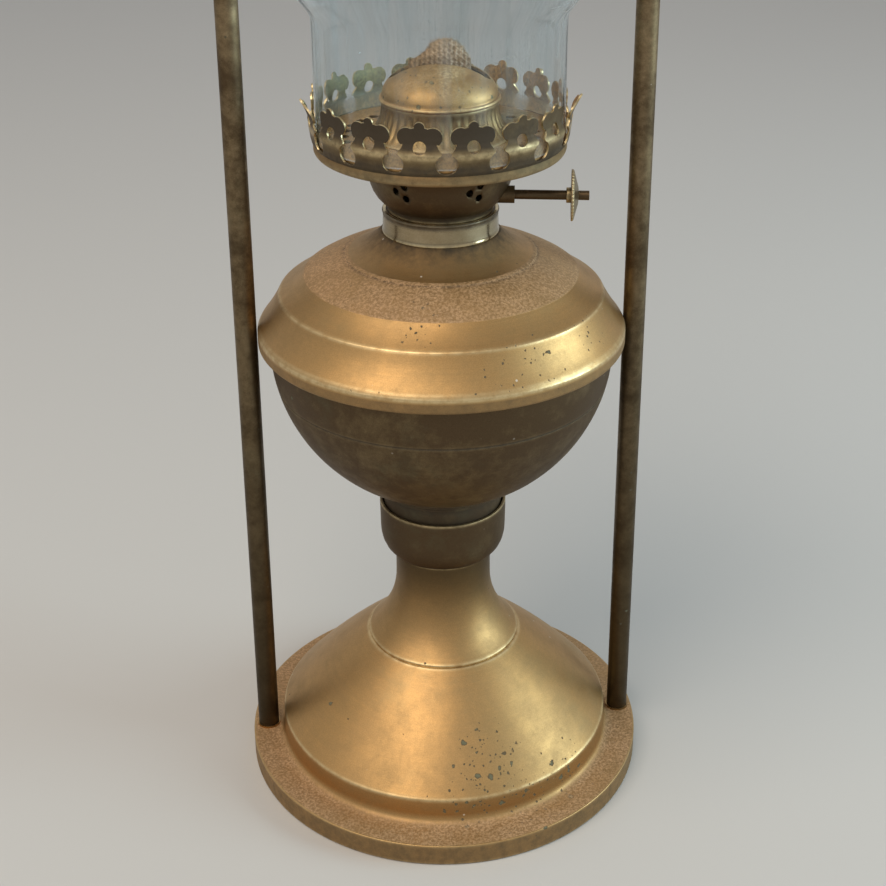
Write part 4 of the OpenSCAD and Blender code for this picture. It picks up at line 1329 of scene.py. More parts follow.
class LANTERN_OT_reservoir(bpy.types.Operator):
    """Round bowl, stepped shoulder, boss and screw collar"""

    bl_idname = "lantern.reservoir"
    bl_label = "Reservoir"

    def execute(self, context):
        finish = settings().finish
        _, top_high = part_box("reservoir_top")
        _, bowl_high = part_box("reservoir_bowl")
        scribed_z = bowl_high.z - 20.7 * MM
        brass = clean_brass(
            "Reservoir brass",
            tarnish=0.34,
            soft=0.27,
            green=0.2,
            dust=(0.08, 0.8, 0.9),
            spots=(0.004, 0.7, 0.2),
        )
        # The bowl is darkened as painted shade
        bowl_shade_brass = painted_shade_brass(
            "Bowl brass", tarnish=0.8, wear=0.05, dust=(0.0, 0.0, 0.3), spots=(0.003, 0.0, 0.0)
        )
        # The boss is darkened as painted shade
        boss_shade_brass = painted_shade_brass(
            "Boss brass", tarnish=0.85, wear=0.0, dust=(0.0, 0.0, 0.3), spots=(0.0, 0.0, 0.0)
        )
        rim_z = top_high.z - 42.5 * MM
        band_z = top_high.z - 20 * MM

        def scribed(r, z):
            return 1.0 if abs(z - scribed_z) < 0.5 * MM else 0.0

        def dust(r, z):
            band = 38 * MM < r < 56.5 * MM and z > band_z
            return 1.0 if band else 0.0

        # Painted shade on the shoulder just under the collar and on its lowest lip
        def grime(r, z):
            on_neck = 1.1 * max(0.0, (z - top_high.z + 10 * MM) / (10 * MM))
            return max(on_neck, 0.5 if z < rim_z else 0.0)

        def rubbed(r, z):
            return 1.0 if rim_z < z < band_z - 2 * MM else 0.0

        shoulder = spun_node(
            "reservoir_top",
            "reservoir_shoulder",
            "brass_shell",
            brass,
            4,
            dust=dust,
            grime=grime,
            rubbed=rubbed,
            corner=BLUNT_CORNER,
            full_wear=24 * DEG,
        )
        spots_near(
            shoulder,
            [
                (Vector((-14 * MM, -55 * MM, 230 * MM)), 14 * MM),
                (Vector((32 * MM, -63 * MM, 215 * MM)), 15 * MM),
                (Vector((18 * MM, -68 * MM, 215 * MM)), 12 * MM),
                (Vector((55 * MM, -38 * MM, 218 * MM)), 12 * MM),
            ],
        )
        spun_node("reservoir_bowl", "reservoir_ball", "brass_shell", bowl_shade_brass, 5, grime=scribed)
        # Painted shade over the whole boss
        spun_node(
            "reservoir_boss",
            "reservoir_neck",
            "brass_shell",
            boss_shade_brass,
            6,
            graded=False,
            grime=lambda r, z: 0.6,
        )
        pale = metal(
            "Collar brass",
            finish.pale_brass,
            finish.tarnish,
            tarnish=0.3,
            soft=0.3,
            rough=(0.16, 0.28),
            dust=(0.0, 0.0, 0.2),
            spots=(0.002, 0.0, 0.0),
            lines=0.00002,
            grit=0.00001,
        )
        spun_node("collar", "screw_collar", "polished_brass", pale, 7, amount=0.03 * MM)
        return {"FINISHED"}


class LANTERN_OT_burner(bpy.types.Operator):
    """Pierced basket, gallery, coronet, fluted skirt, flame dome and the wick's knob"""

    bl_idname = "lantern.burner"
    bl_label = "Burner"

    def execute(self, context):
        finish = settings().finish
        # Coronet: shade colour as its film, grime raised so that its painted shade reads dark, and a dust colour split
        # from left to right as painted light
        self.dark = metal(
            "Coronet brass",
            finish.tarnish,
            finish.shade,
            tarnish=0.45,
            rough=(0.34, 0.5),
            wear=0.9,
            grime=1.35,
            dust=(0.05, 0.85, 0.4),
            dust_colour=((0.29, 0.28, 0.13, 1), (0.42, 0.23, 0.09, 1)),
            spots=(0.004, 0.0, 0.0),
        )
        self.warm = metal(
            "Burner brass",
            finish.brass,
            finish.tarnish,
            tarnish=0.72,
            soft=0.3,
            wear=0.4,
            dust=(0.05, 0.0, 0.6),
            spots=(0.004, 0.0, 0.0),
        )
        # The basket is darkened as painted shade
        self.shaded = painted_shade_brass(
            "Basket brass", tarnish=0.74, dust=(0.05, 0.0, 0.4), spots=(0.004, 0.0, 0.0)
        )
        # The dome's dust colour is split from left to right as painted light
        self.dusty = clean_brass(
            "Dome brass",
            tarnish=0.35,
            rough=(0.42, 0.6),
            dust=(1.5, 0.0, 1.0),
            dust_colour=((0.40, 0.255, 0.115, 1), (0.32, 0.27, 0.16, 1)),
            spots=(0.34, 0.0, 0.0),
            grit=0.00014,
        )
        self.make_basket()
        self.make_coronet()
        self.make_bell()
        self.make_dome()
        self.make_knob()
        return {"FINISHED"}

    def make_basket(self):
        """Basket of the burner with its clusters of air holes"""
        clusters = 6
        cluster_turn = -96.6 * DEG
        hole = 1.5 * MM
        hole_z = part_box("air_basket")[0].z + 14.6 * MM
        basket = spun_node("air_basket", "burner_basket", "burner_brass", self.shaded, 8, body="burner")
        solids = []
        for i in range(clusters):
            angle = cluster_turn + (i - 0.5) * 2 * math.pi / clusters
            out = Vector((math.cos(angle), math.sin(angle), 0))
            side = Vector((-math.sin(angle), math.cos(angle), 0))
            for across, up in ((-1, 0), (1, 1.2), (1, -1.2)):
                middle = side * (1.45 * hole * across) + Vector((0, 0, hole_z + 1.45 * hole * up))
                solids.append(tube_solid(middle + out * 17 * MM, middle + out * 46 * MM, hole, 24))
        spindle_low, spindle_high = turned_box("spindle")
        axis = (spindle_low + spindle_high) / 2
        start_at = WICK_TURN @ Vector((12 * MM, axis.y, axis.z))
        end_at = WICK_TURN @ Vector((42 * MM, axis.y, axis.z))
        solids.append(tube_solid(start_at, end_at, axis.z - spindle_low.z + 0.4 * MM, 24))
        cut(basket, *joined(solids))
        dress(self.shaded, "spindle_gland", "spindle_brackets")
        dress(self.dusty, "gallery_plate")

    def make_coronet(self):
        """Ring of pierced petals that grips the glass, standing on its rolled rim"""
        sizes = settings().sizes
        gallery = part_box("gallery_plate")[0].z
        low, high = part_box("coronet")
        flat = petal_sheet(math.pi * (high.x - 0.5 * MM) / sizes.petals)
        points, faces = [], []
        chance = random.Random(11)
        for n in range(sizes.petals):
            lean = chance.gauss(0, 1) * sizes.petal_lean
            twist = chance.gauss(0, 1) * sizes.petal_lean
            bent = BENT_PETALS.get(n, 0.0)
            shift = len(points)
            middle = PETAL_TURN + (n + 0.5) * 2 * math.pi / sizes.petals
            for u, v in flat[0]:
                angle = middle + u / (high.x - 0.5 * MM)
                above = max(0.0, v - 7 * MM) / (12 * MM)
                radius = coronet_radius(v) + above * (lean + twist * u / (9 * MM))
                radius += bent * max(0.0, v - 7 * MM)
                radius = max(radius, coronet_radius(v) - 0.12 * MM)
                height = gallery + v - abs(bent) * 0.25 * max(0.0, v - 7 * MM)
                points.append((radius * math.cos(angle), radius * math.sin(angle), height))
            faces += [tuple(i + shift for i in face) for face in flat[1]]
        coronet = new_piece("coronet_petals", points, faces, "burner", self.dark, ("coronet",))
        weld(coronet)
        thick = coronet.modifiers.new("Sheet", "SOLIDIFY")
        thick.thickness = 0.8 * MM
        thick.offset = -1
        edge = coronet.modifiers.new("Edge", "BEVEL")
        edge.width = 0.16 * MM
        edge.segments = 2
        edge.limit_method = "ANGLE"
        edge.angle_limit = 50 * DEG
        applied(coronet)
        coronet.data.set_sharp_from_angle(angle=50 * DEG)
        paint_petals(coronet, gallery)
        roll = (gallery - low.z) / 2
        roll_x = 47.5 * MM
        roll_z = gallery - roll
        circle = []
        for i in range(32):
            a = 2 * math.pi * i / 32
            worn = 0.5 * max(0.0, math.cos(a + 0.5)) ** 8
            # Painted shade over the whole roll, darkest at its top under the petals
            hollow = max(0.45, 0.95 * max(0.0, math.cos(a - 1.25)) ** 4)
            circle.append((roll_x + roll * math.cos(a), roll_z + roll * math.sin(a), worn, hollow))
        spin("gallery_rim", [(circle, True)], "burner", "burner_brass", self.warm, ("coronet",), 9)

    def make_bell(self):
        """Fluted skirt below the flame dome"""
        low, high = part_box("flame_bell")
        flutes = settings().sizes.flutes

        class Fluted:
            count = flutes * 8

            def __call__(self, angle, r, z):
                share = (z - low.z) / (high.z - low.z)
                fade = min(1.0, max(0.0, (share - 0.1) / 0.14)) * min(1.0, max(0.0, (0.93 - share) / 0.12))
                wave = 0.5 + 0.5 * math.cos(flutes * angle)
                return r - 0.55 * MM * fade * wave**1.5, z

        outlines = [(softened(line, closed), closed) for line, closed in section("flame_bell", 3.1 * DEG)]
        spin("skirt_flutes", outlines, "burner", "burner_brass", self.warm, ("flame_bell",), 10, shape=Fluted())

    def make_dome(self):
        """Flame dome with its slot and bead"""
        low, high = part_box("flame_dome")
        bead = 0.9 * MM
        radius = high.x - bead
        foot = low.z + 2 * bead
        rise = high.z - foot
        wall = 0.8 * MM
        outer, inner = [], []
        steps = 26
        for i in range(steps + 1):
            a = math.pi / 2 * i / steps
            outer.append(((radius - 0.2 * MM) * math.cos(a), foot + rise * math.sin(a), 0.0, 0.0))
            inner.append(((radius - wall) * math.cos(a), foot - 0.3 * MM + (rise - wall) * math.sin(a), 0.0, 0.0))
        outer[-1] = (0.0, high.z, 0.0, 0.0)
        inner[-1] = (0.0, high.z - wall, 0.0, 0.0)
        ring_line = []
        for i in range(11):
            a = -2.2 + 3.7 * i / 10
            worn = 0.8 * max(0.0, math.cos(a - 0.3)) ** 5
            ring_line.append((radius + bead * math.cos(a), low.z + bead + bead * math.sin(a), worn, 0.0))
        ring_line.append((radius - 0.1 * MM, foot - 0.1 * MM, 0.0, 1.0))
        line = inner[::-1] + ring_line + outer
        dome = spin("flame_dome_cap", [(line, False)], "burner", "burner_brass", self.dusty, ("flame_dome",), 12)
        half_l, half_w = 20 * MM, 3.3 * MM
        points, faces = rounded_slot(half_l, half_w, low.z + 4 * MM, high.z + 5 * MM)
        cut(dome, points, faces)
        dome.data.set_sharp_from_angle(angle=48 * DEG)

    def make_knob(self):
        """Dished knob with a milled edge"""
        finish = settings().finish
        low, high = turned_box("knob")
        centre = (low + high) / 2
        axis = Matrix.Translation((0, centre.y, centre.z)) @ Matrix.Rotation(math.pi / 2, 4, "Y")
        turned = WICK_TURN @ axis
        teeth = settings().sizes.knob_teeth
        reach = (high.y - low.y) / 2

        class Milled:
            count = teeth * 6

            def __call__(self, angle, r, z):
                at_rim = min(1.0, max(0.0, (r - reach + 1.1 * MM) / (0.7 * MM)))
                notch = max(0.0, math.cos(teeth * angle)) ** 1.5
                return r - 0.32 * MM * at_rim * notch, z

        pale = metal(
            "Knob brass",
            finish.pale_brass,
            finish.tarnish,
            tarnish=0.8,
            wear=0.3,
            rough=(0.25, 0.42),
            green=0.7,
            dust=(0.0, 0.0, 0.2),
            spots=(0.01, 0.0, 0.0),
        )
        outlines = [(softened(line, closed), closed) for line, closed in section("knob", 0.35, turned)]
        spin(
            "wick_knob_disc",
            outlines,
            "wick_knob",
            "polished_brass",
            pale,
            ("knob",),
            13,
            shape=Milled(),
            place=turned,
            amount=0.03 * MM,
        )


# Polar angle of the gap between the last petal and the first
PETAL_TURN = -91.3 * DEG
# Petals that have been bent out, by number, as slopes
BENT_PETALS = {3: 0.34, 12: 0.32}
# How dark a petal's outside is painted above the bulge, by number, and how dark the others are: painted shade with some
# heat browning, lighter on the petals at the right
PETAL_SHADE = {13: 1.0, 14: 1.0, 15: 1.0, 0: 1.0, 1: 0.5, 2: 0.2, 3: 0.2}
OTHER_PETAL_SHADE = 0.6


def coronet_radius(v):
    """Radius of the coronet's outer face at a height above the gallery"""
    heights = (-1.4, 0.2, 3.0, 6.6, 9.0, 11.5, 14.0, 17.0, 20.0)
    radii = (49.8, 50.95, 51.5, 52.0, 51.5, 50.8, 50.75, 51.05, 51.6)
    v = v / MM
    for i in range(len(heights) - 1):
        if v <= heights[i + 1] or i == len(heights) - 2:
            t = (v - heights[i]) / (heights[i + 1] - heights[i])
            t = min(1.0, max(0.0, t))
            t = t * t * (3 - 2 * t) if 0 < i < len(heights) - 2 else t
            return (radii[i] + (radii[i + 1] - radii[i]) * t) * MM
    return radii[-1] * MM


def petal_sheet(half):
    """One flat petal with half of the gap on either side of it: its points (u, v) and its faces"""
    drop_v, drop_r = 3.7 * MM, 4.2 * MM
    neck = half - 1.9 * MM
    lobe_u, lobe_v, lobe_r = 5.0 * MM, 13.9 * MM, 3.6 * MM
    tip_v, tip_r = 17.75 * MM, 1.95 * MM
    right = [(half, -1.4 * MM), (half, drop_v - drop_r)]
    end = math.pi - math.asin((7.45 * MM - drop_v) / drop_r)
    for i in range(1, 12):
        a = -math.pi / 2 - (2 * math.pi - end - math.pi / 2) * i / 11
        right.append((half + drop_r * math.cos(a), drop_v + drop_r * math.sin(a)))
    right += [
        (neck, 8.1 * MM),
        (neck - 0.25 * MM, 8.5 * MM),
        (neck - 1.1 * MM, 9.6 * MM),
        (neck - 1.65 * MM, 10.6 * MM),
        (neck - 1.72 * MM, 11.3 * MM),
    ]
    for i in range(13):
        a = (-52 + 170 * i / 12) * DEG
        right.append((lobe_u + lobe_r * math.cos(a), lobe_v + lobe_r * math.sin(a)))
    for i in range(7):
        a = (-8 + 98 * i / 6) * DEG
        right.append((tip_r * math.cos(a), tip_v + tip_r * math.sin(a)))
    left = [(-u, v) for u, v in reversed(right[:-1])]
    outline = right + left
    bm = bmesh.new()
    rings = [outline]
    hole_v, hole_r = 10 * MM, 2.5 * MM
    rings.append([(hole_r * math.cos(a), hole_v + hole_r * math.sin(a)) for a in (i * math.pi / 12 for i in range(24))])
    for ring_points in rings:
        verts = [bm.verts.new((u, v, 0)) for u, v in ring_points]
        for a, b in zip(verts, verts[1:] + verts[:1]):
            bm.edges.new((a, b))
    bmesh.ops.triangle_fill(bm, use_beauty=True, use_dissolve=False, edges=bm.edges[:], normal=(0, 0, 1))
    step = half / 8
    for i in range(-7, 8):
        everything = bm.verts[:] + bm.edges[:] + bm.faces[:]
        bmesh.ops.bisect_plane(bm, geom=everything, plane_co=(i * step, 0, 0), plane_no=(1, 0, 0))
    for i in range(1, 22):
        everything = bm.verts[:] + bm.edges[:] + bm.faces[:]
        bmesh.ops.bisect_plane(bm, geom=everything, plane_co=(0, (i - 2) * MM, 0), plane_no=(0, 1, 0))
    bmesh.ops.remove_doubles(bm, verts=bm.verts, dist=0.02 * MM)
    bmesh.ops.recalc_face_normals(bm, faces=bm.faces[:])
    if bm.faces[:] and bm.faces[0].normal.z < 0:
        bmesh.ops.reverse_faces(bm, faces=bm.faces[:])
    bm.verts.index_update()
    points = [(v.co.x, v.co.y) for v in bm.verts]
    faces = [tuple(v.index for v in f.verts) for f in bm.faces]
    bm.free()
    return points, faces


def weld(piece):
    """Joins the petals where they meet below their gaps"""
    bm = bmesh.new()
    bm.from_mesh(piece.data)
    bmesh.ops.remove_doubles(bm, verts=bm.verts, dist=0.03 * MM)
    bm.to_mesh(piece.data)
    bm.free()
    piece.data.polygons.foreach_set("use_smooth", [True] * len(piece.data.polygons))


def paint_petals(coronet, gallery):
    """Bright cut faces, a painted highlight along the bulge, painted shade with some heat browning above the bulge that
    differs from petal to petal, painted shade below it, and dust on the inner faces
    """
    mesh = coronet.data
    pitch = 2 * math.pi / settings().sizes.petals
    wear, cove, dust = ([0.0] * len(mesh.loops) for _ in range(3))
    for face in mesh.polygons:
        out = Vector((face.center.x, face.center.y, 0)).normalized()
        facing = face.normal.dot(out)
        number = int((math.atan2(out.y, out.x) - PETAL_TURN) % (2 * math.pi) / pitch)
        shade_here = PETAL_SHADE.get(number, OTHER_PETAL_SHADE)
        for corner in face.loop_indices:
            v = (mesh.vertices[mesh.loops[corner].vertex_index].co.z - gallery) / MM
            # Painted highlight along the outside of the bulge; bright wear on the cut faces
            bulge_highlight = 0.6 * math.exp(-(((v - 6.6) / 1.3) ** 2)) if facing > 0 else 0.0
            on_cut = 0.7 if abs(facing) < 0.55 and v > 0.5 else 0.0
            wear[corner] = max(bulge_highlight, on_cut)
            if facing > 0.3:
                # Painted shade, with some heat browning, above the bulge, and painted shade below the bulge
                burnt = min(1.0, max(0.0, (v - 8.0) / 2.2)) * shade_here
                low_shade = min(1.0, max(0.0, (4.4 - v) / 2.5)) * 0.6
                cove[corner] = max(burnt, low_shade)
            elif facing < -0.3:
                dust[corner] = 1.0
    paint(coronet, "wear", wear, "CORNER")
    paint(coronet, "cove", cove, "CORNER")
    paint(coronet, "dust", dust, "CORNER")


def rounded_slot(half_l, half_w, low_z, high_z):
    """Closed solid that cuts the slot for the wick"""
    outline = []
    for side, start_a in ((1, -90), (-1, 90)):
        for i in range(9):
            a = (start_a + 180 * i / 8) * DEG
            outline.append((side * (half_l - half_w) + half_w * math.cos(a), half_w * math.sin(a)))
    count = len(outline)
    points = [WICK_TURN @ Vector((x, y, z)) for z in (low_z, high_z) for x, y in outline]
    faces = [(i, (i + 1) % count, count + (i + 1) % count, count + i) for i in range(count)]
    faces += [tuple(range(count - 1, -1, -1)), tuple(range(count, 2 * count))]
    return points, faces


# The wick's burnt crown: share of its height, share of the wick's width that is left there, and how far
# the middle of that width has burnt over towards the knob
CROWN = (
    (0.0, 1.0, 0.0),
    (0.09, 0.88, 1.3 * MM),
    (0.36, 0.67, 2.3 * MM),
    (0.65, 0.5, 2.5 * MM),
    (0.85, 0.35, 2.5 * MM),
    (0.95, 0.22, 2.5 * MM),
    (1.0, 0.07, 2.5 * MM),
)
CROWN_H = 9 * MM


class LANTERN_OT_wick(bpy.types.Operator):
    """Knitted cotton wick with a burnt-down, fuzzy crown"""

    bl_idname = "lantern.wick"
    bl_label = "Wick"

    def execute(self, context):
        low, high = turned_box("wick")
        material = self.cotton()
        self.make_strip(low, high, material)
        self.make_fibres(low, high, material)
        return {"FINISHED"}

    def cotton(self):
        """Brown cotton, redder on one side of the crown and paler on the other, with painted shade between the ribs and
        below the crown
        """
        finish = settings().finish
        material, tree, shader = start("Knitted cotton")
        yarn = clouds(tree, place(tree, scale=(1, 1, 0.5)), 1500.0, detail=5.0, rough=0.75)
        smudge = clouds(tree, place(tree, offset=(0.3, 0.3, 0.1)), 260.0, detail=5.0, rough=0.7)
        across = add(tree, "ShaderNodeSeparateXYZ", {0: add(tree, "ShaderNodeTexCoord").outputs["Object"]}).outputs["X"]
        side = ramp(tree, across, -8 * MM, 8 * MM)
        light = blend(tree, side, (0.62, 0.40, 0.22, 1), (0.74, 0.69, 0.60, 1))
        mixed = blend(tree, ramp(tree, yarn, 0.35, 0.7), finish.cotton, light)
        dirty = blend(tree, ramp(tree, smudge, 0.45, 0.72, 0.0, 0.42), mixed, (0.27, 0.175, 0.09, 1))
        # Painted shade where the mesh marks hollows
        hollow = add(tree, "ShaderNodeAttribute", attribute_name="cove").outputs["Fac"]
        shaded = blend(tree, maths(tree, "MULTIPLY", hollow, 0.7), dirty, (0.13, 0.085, 0.045, 1))
        feed(tree, shader, Base_Color=shaded, Roughness=0.95, Normal=relief(tree, yarn, 0.0004))
        shader.inputs["Specular IOR Level"].default_value = 0.1
        return material

    def edge_at(self, z, low, high, side):
        """Where the wick's edge lies at a height, on its right (1) or its left (-1), a little ragged"""
        share = min(1.0, max(0.0, 1 - (high.z - z) / CROWN_H))
        _, width, shift = CROWN[-1]
        for (h0, w0, s0), (h1, w1, s1) in zip(CROWN, CROWN[1:]):
            if share <= h1:
                t = (share - h0) / (h1 - h0)
                width = w0 + (w1 - w0) * t
                shift = s0 + (s1 - s0) * t
                break
        ragged = noise.noise(Vector((side * 3.1, z * 1300, 0.4))) * 0.5 * MM
        ragged += noise.noise(Vector((side * 5.7, z * 3900, 1.9))) * 0.25 * MM
        return side * width * high.x + shift + ragged * min(1.0, share * 5)

    def make_strip(self, low, high, material):
        rib = settings().sizes.knit_width
        stitch = 2.3 * MM
        around = 260
        dense_from = high.z - 26 * MM
        rows = [low.z + (dense_from - low.z) * i / 24 for i in range(24)]
        rows += [dense_from + (high.z - dense_from) * i / 130 for i in range(131)]
        points, hollow = [], []
        for z in rows:
            right = self.edge_at(z, low, high, 1)
            left = self.edge_at(z, low, high, -1)
            share = min(1.0, max(0.0, 1 - (high.z - z) / CROWN_H))
            thick = high.y * (1 - 0.8 * share**7)
            for j in range(around):
                t = j / around
                side = 1 if t < 0.5 else -1
                s = (4 * (t % 0.5) - 1) * -side
                x = (left + right) / 2 + s * (right - left) / 2
                column = x / rib
                number = math.floor(column)
                wave = 0.16 * math.sin(2 * math.pi * (z / stitch + 0.5 * (number % 2)) + number)
                strand = abs(math.sin(math.pi * (column + wave)))
                loop = 0.5 + 0.5 * math.sin(2 * math.pi * (2 * z / stitch + (column % 1)) + 1.7 * number)
                relief_here = strand**0.8 * (0.62 + 0.38 * loop)
                fluff = noise.noise(Vector((x, 0.002 * side, z)) * 1700) * 0.16 * MM
                fluff += noise.noise(Vector((x, 0.002 * side, z)) * 4200) * 0.09 * MM
                depth = thick * (1 - abs(s) ** 5) ** 0.5
                y = -side * (depth - 0.45 * MM * (1 - relief_here) * (1 - 0.5 * share**3) + fluff)
                points.append(WICK_TURN @ Vector((x, y, z)))
                # Painted shade between the knitted ribs and on the wick below its crown
                at_base = max(0.0, 1 - abs(share - 0.05) / 0.25) * 0.5
                hollow.append(min(1.0, 0.85 * (1 - relief_here) + at_base))
        faces = []
        for i in range(len(rows) - 1):
            for j in range(around):
                k = (j + 1) % around
                faces.append((i * around + j, i * around + k, (i + 1) * around + k, (i + 1) * around + j))
        faces.append(tuple(range(around - 1, -1, -1)))
        faces.append(tuple(range((len(rows) - 1) * around, len(rows) * around)))
        wick = new_piece("knitted_wick", points, faces, "wick_body", material, ("wick",))
        paint(wick, "cove", hollow)
        bm = bmesh.new()
        bm.from_mesh(wick.data)
        bmesh.ops.recalc_face_normals(bm, faces=bm.faces[:])
        bm.to_mesh(wick.data)
        bm.free()

    def make_fibres(self, low, high, material):
        """Loose fibres that stand out of the crown and curl over"""
        chance = random.Random(23)
        thin = 0.05 * MM
        points, faces = [], []
        for _ in range(settings().sizes.fibres):
            z = high.z - abs(chance.gauss(0, 0.5)) * 10 * MM
            side = chance.choice((-1, 1))
            edge = self.edge_at(z, low, high, side)
            inner = self.edge_at(z, low, high, -side)
            inward = chance.uniform(0.0, 0.06) if chance.random() < 0.55 else chance.uniform(0.0, 1.0)
            x = edge + (inner - edge) * inward
            y = chance.uniform(-0.9, 0.9) * high.y * (1 if inward > 0.1 else 0.5)
            spot = Vector((x, y, z))
            outward = Vector((side * (1 - inward) * 0.8, chance.gauss(0, 0.6), 0.4 + chance.random())).normalized()
            length = chance.uniform(0.3, 1.0) * MM
            bend = Vector((chance.gauss(0, 1), chance.gauss(0, 1), chance.gauss(0, 1))) * 0.6
            shift = len(points)
            steps = 5
            for i in range(steps):
                t = i / (steps - 1)
                centre = spot + (outward + bend * t) * length * t
                radius = thin * (1 - 0.6 * t)
                for k in range(3):
                    a = 2 * math.pi * k / 3
                    points.append(centre + Vector((math.cos(a), math.sin(a), 0)) * radius)
            for i in range(steps - 1):
                for k in range(3):
                    n = (k + 1) % 3
                    base = shift + 3 * i
                    faces.append((base + k, base + n, base + 3 + n, base + 3 + k))
            faces.append((shift + 2, shift + 1, shift))
            faces.append(tuple(shift + 3 * (steps - 1) + k for k in range(3)))
        points = [WICK_TURN @ p for p in points]
        new_piece("wick_fibres", points, faces, "wick_body", material)


class LANTERN_OT_chimney(bpy.types.Operator):
    """Old blown chimney with streaks, haze and dust on its outside"""

    bl_idname = "lantern.chimney"
    bl_label = "Chimney"

    def execute(self, context):
        wall = 0.7 * MM
        outer = self.outer_line()
        outline = [(r, z, 0.0, 0.0) for r, z, _ in outer]
        outline += [(r - out.x * wall, z - out.y * wall, 0.0, 0.0) for r, z, out in reversed(outer)]
        glass = spin(
            "blown_chimney",
            [(outline, True)],
            "glass",
            "chimney_glass",
            self.glass(),
            ("chimney",),
            seed=14,
            amount=0.09 * MM,
        )
        glass.visible_shadow = False
        self.add_dust()
        return {"FINISHED"}

    def outer_line(self):
        """Points (r, z) up the outside of the glass, each with its outward normal"""
        outlines = section("chimney")
        soft = softened(*outlines[0], graded=False)
        kept = []
        for i, (r, z, _, _) in enumerate(soft):
            a, b = soft[i - 1], soft[(i + 1) % len(soft)]
            out = Vector((b[1] - a[1], a[0] - b[0])).normalized()
            if out.x > 0.35:
                kept.append((r, z, out))
        return sorted(kept, key=lambda p: p[1])

    def glass(self):
        finish = settings().finish
        material, tree, shader = start("Old blown glass")
        run = use(tree, streaks(), Across=5.0, Along=9.0)
        tint = blend(tree, ramp(tree, run["Wide"], 0.35, 0.7, 0.0, 0.5), (0.95, 0.975, 0.985, 1), finish.glass)
        rough = ramp(tree, run["Fine"], 0.45, 0.75, 0.015, 0.12)
        ripple = clouds(tree, place(tree, scale=(1, 1, 0.25)), 55.0, detail=2.0)
        feed(tree, shader, Base_Color=tint, Roughness=rough, Normal=relief(tree, ripple, 0.0006))
        shader.inputs["Transmission Weight"].default_value = 1.0
        shader.inputs["IOR"].default_value = 1.16
        return material

    def add_dust(self):
        """Film of haze, dust and scratches that lies just outside the glass"""
        finish = settings().finish
        material, tree, shader = start("Glass haze")
        run = use(tree, streaks(), Across=7.0, Along=7.0)
        spot = add(tree, "ShaderNodeSeparateXYZ", {0: add(tree, "ShaderNodeTexCoord").outputs["Object"]}).outputs
        dirty_side = ramp(tree, spot["X"], -0.03, 0.03, 0.35, 1.0)
        film = ramp(tree, run["Wide"], 0.4, 0.72, 0.05, 0.26)
        drips = ramp(tree, run["Fine"], 0.5, 0.74, 0.0, 0.45)
        powder = ramp(tree, clouds(tree, place(tree), 620.0, detail=6.0, rough=0.8), 0.56, 0.72, 0.0, 0.7)
        drift = ramp(tree, clouds(tree, place(tree, offset=(0.2, 0.7, 0.3)), 26.0, detail=5.0), 0.42, 0.66)
        patch = maths(tree, "MULTIPLY", drift, dirty_side)
        smears = maths(tree, "ADD", film, maths(tree, "MULTIPLY", drips, patch))
        specks = use(tree, settled_dust(), Everywhere=0.0, Ledges=0.0, Specks=1.0)["Specks"]
        scratch_at = place(tree, scale=(1, 1, 0.35), offset=(0.4, 0.1, 0.2))
        cells = {"Vector": scratch_at, "Scale": 130.0, "Randomness": 1.0}
        edges = add(tree, "ShaderNodeTexVoronoi", cells, feature="DISTANCE_TO_EDGE").outputs["Distance"]
        scratch = maths(tree, "MULTIPLY", ramp(tree, edges, 0.0, 0.02, 0.5, 0.0), patch)
        summed = maths(tree, "ADD", smears, maths(tree, "MULTIPLY", powder, patch))
        loose = maths(tree, "MAXIMUM", maths(tree, "MULTIPLY", specks, 0.8), scratch)
        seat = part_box("chimney")[0].z
        caked = ramp(tree, spot["Z"], seat + 3 * MM, seat + 11 * MM, 0.78, 0.0)
        crumbs = clouds(tree, place(tree, offset=(0.6, 0.1, 0.2)), 700.0, detail=6.0, rough=0.8)
        settled = maths(tree, "MULTIPLY", caked, ramp(tree, crumbs, 0.3, 0.6, 0.75, 1.1))
        alpha = maths(tree, "MAXIMUM", maths(tree, "MAXIMUM", summed, loose), settled, clamp=True)
        hazed = blend(tree, loose, finish.haze, (0.8, 0.8, 0.78, 1))
        tan = blend(tree, ramp(tree, crumbs, 0.35, 0.65), (0.30, 0.2, 0.1, 1), (0.46, 0.34, 0.19, 1))
        colour = blend(tree, settled, hazed, tan)
        feed(tree, shader, Base_Color=colour, Roughness=0.8, Alpha=alpha)
        shader.inputs["Specular IOR Level"].default_value = 0.15
        off = 0.07 * MM
        outline = [(r + out.x * off, z + out.y * off, 0.0, 0.0) for r, z, out in self.outer_line()]
        haze = spin(
            "chimney_haze", [(outline, False)], "glass", "chimney_glass", material, seed=14, amount=0.09 * MM
        )
        haze.visible_shadow = False


class LANTERN_OT_canopy(bpy.types.Operator):
    """Spun canopy, vent collar and smoke cap"""

    bl_idname = "lantern.canopy"
    bl_label = "Canopy"

    def execute(self, context):
        brass = clean_brass("Canopy brass", tarnish=0.5, soft=0.27, dust=(0.3, 0.6, 0.8), spots=(0.02, 0.0, 0.0))
        canopy_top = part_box("cap_washers")[0].z

        def dust(r, z):
            return 1.0 if abs(z - canopy_top) < 0.8 * MM else 0.0

        spun_node("canopy", "canopy_shell", "brass_shell", brass, 15, dust=dust)
        spun_node("vent_collar", "vent_ring", "brass_shell", brass, 16)
        spun_node("smoke_cap", "smoke_cap_shell", "brass_shell", brass, 17)
        dress(brass, "cap_posts", "bail_ears", "bail")
        return {"FINISHED"}


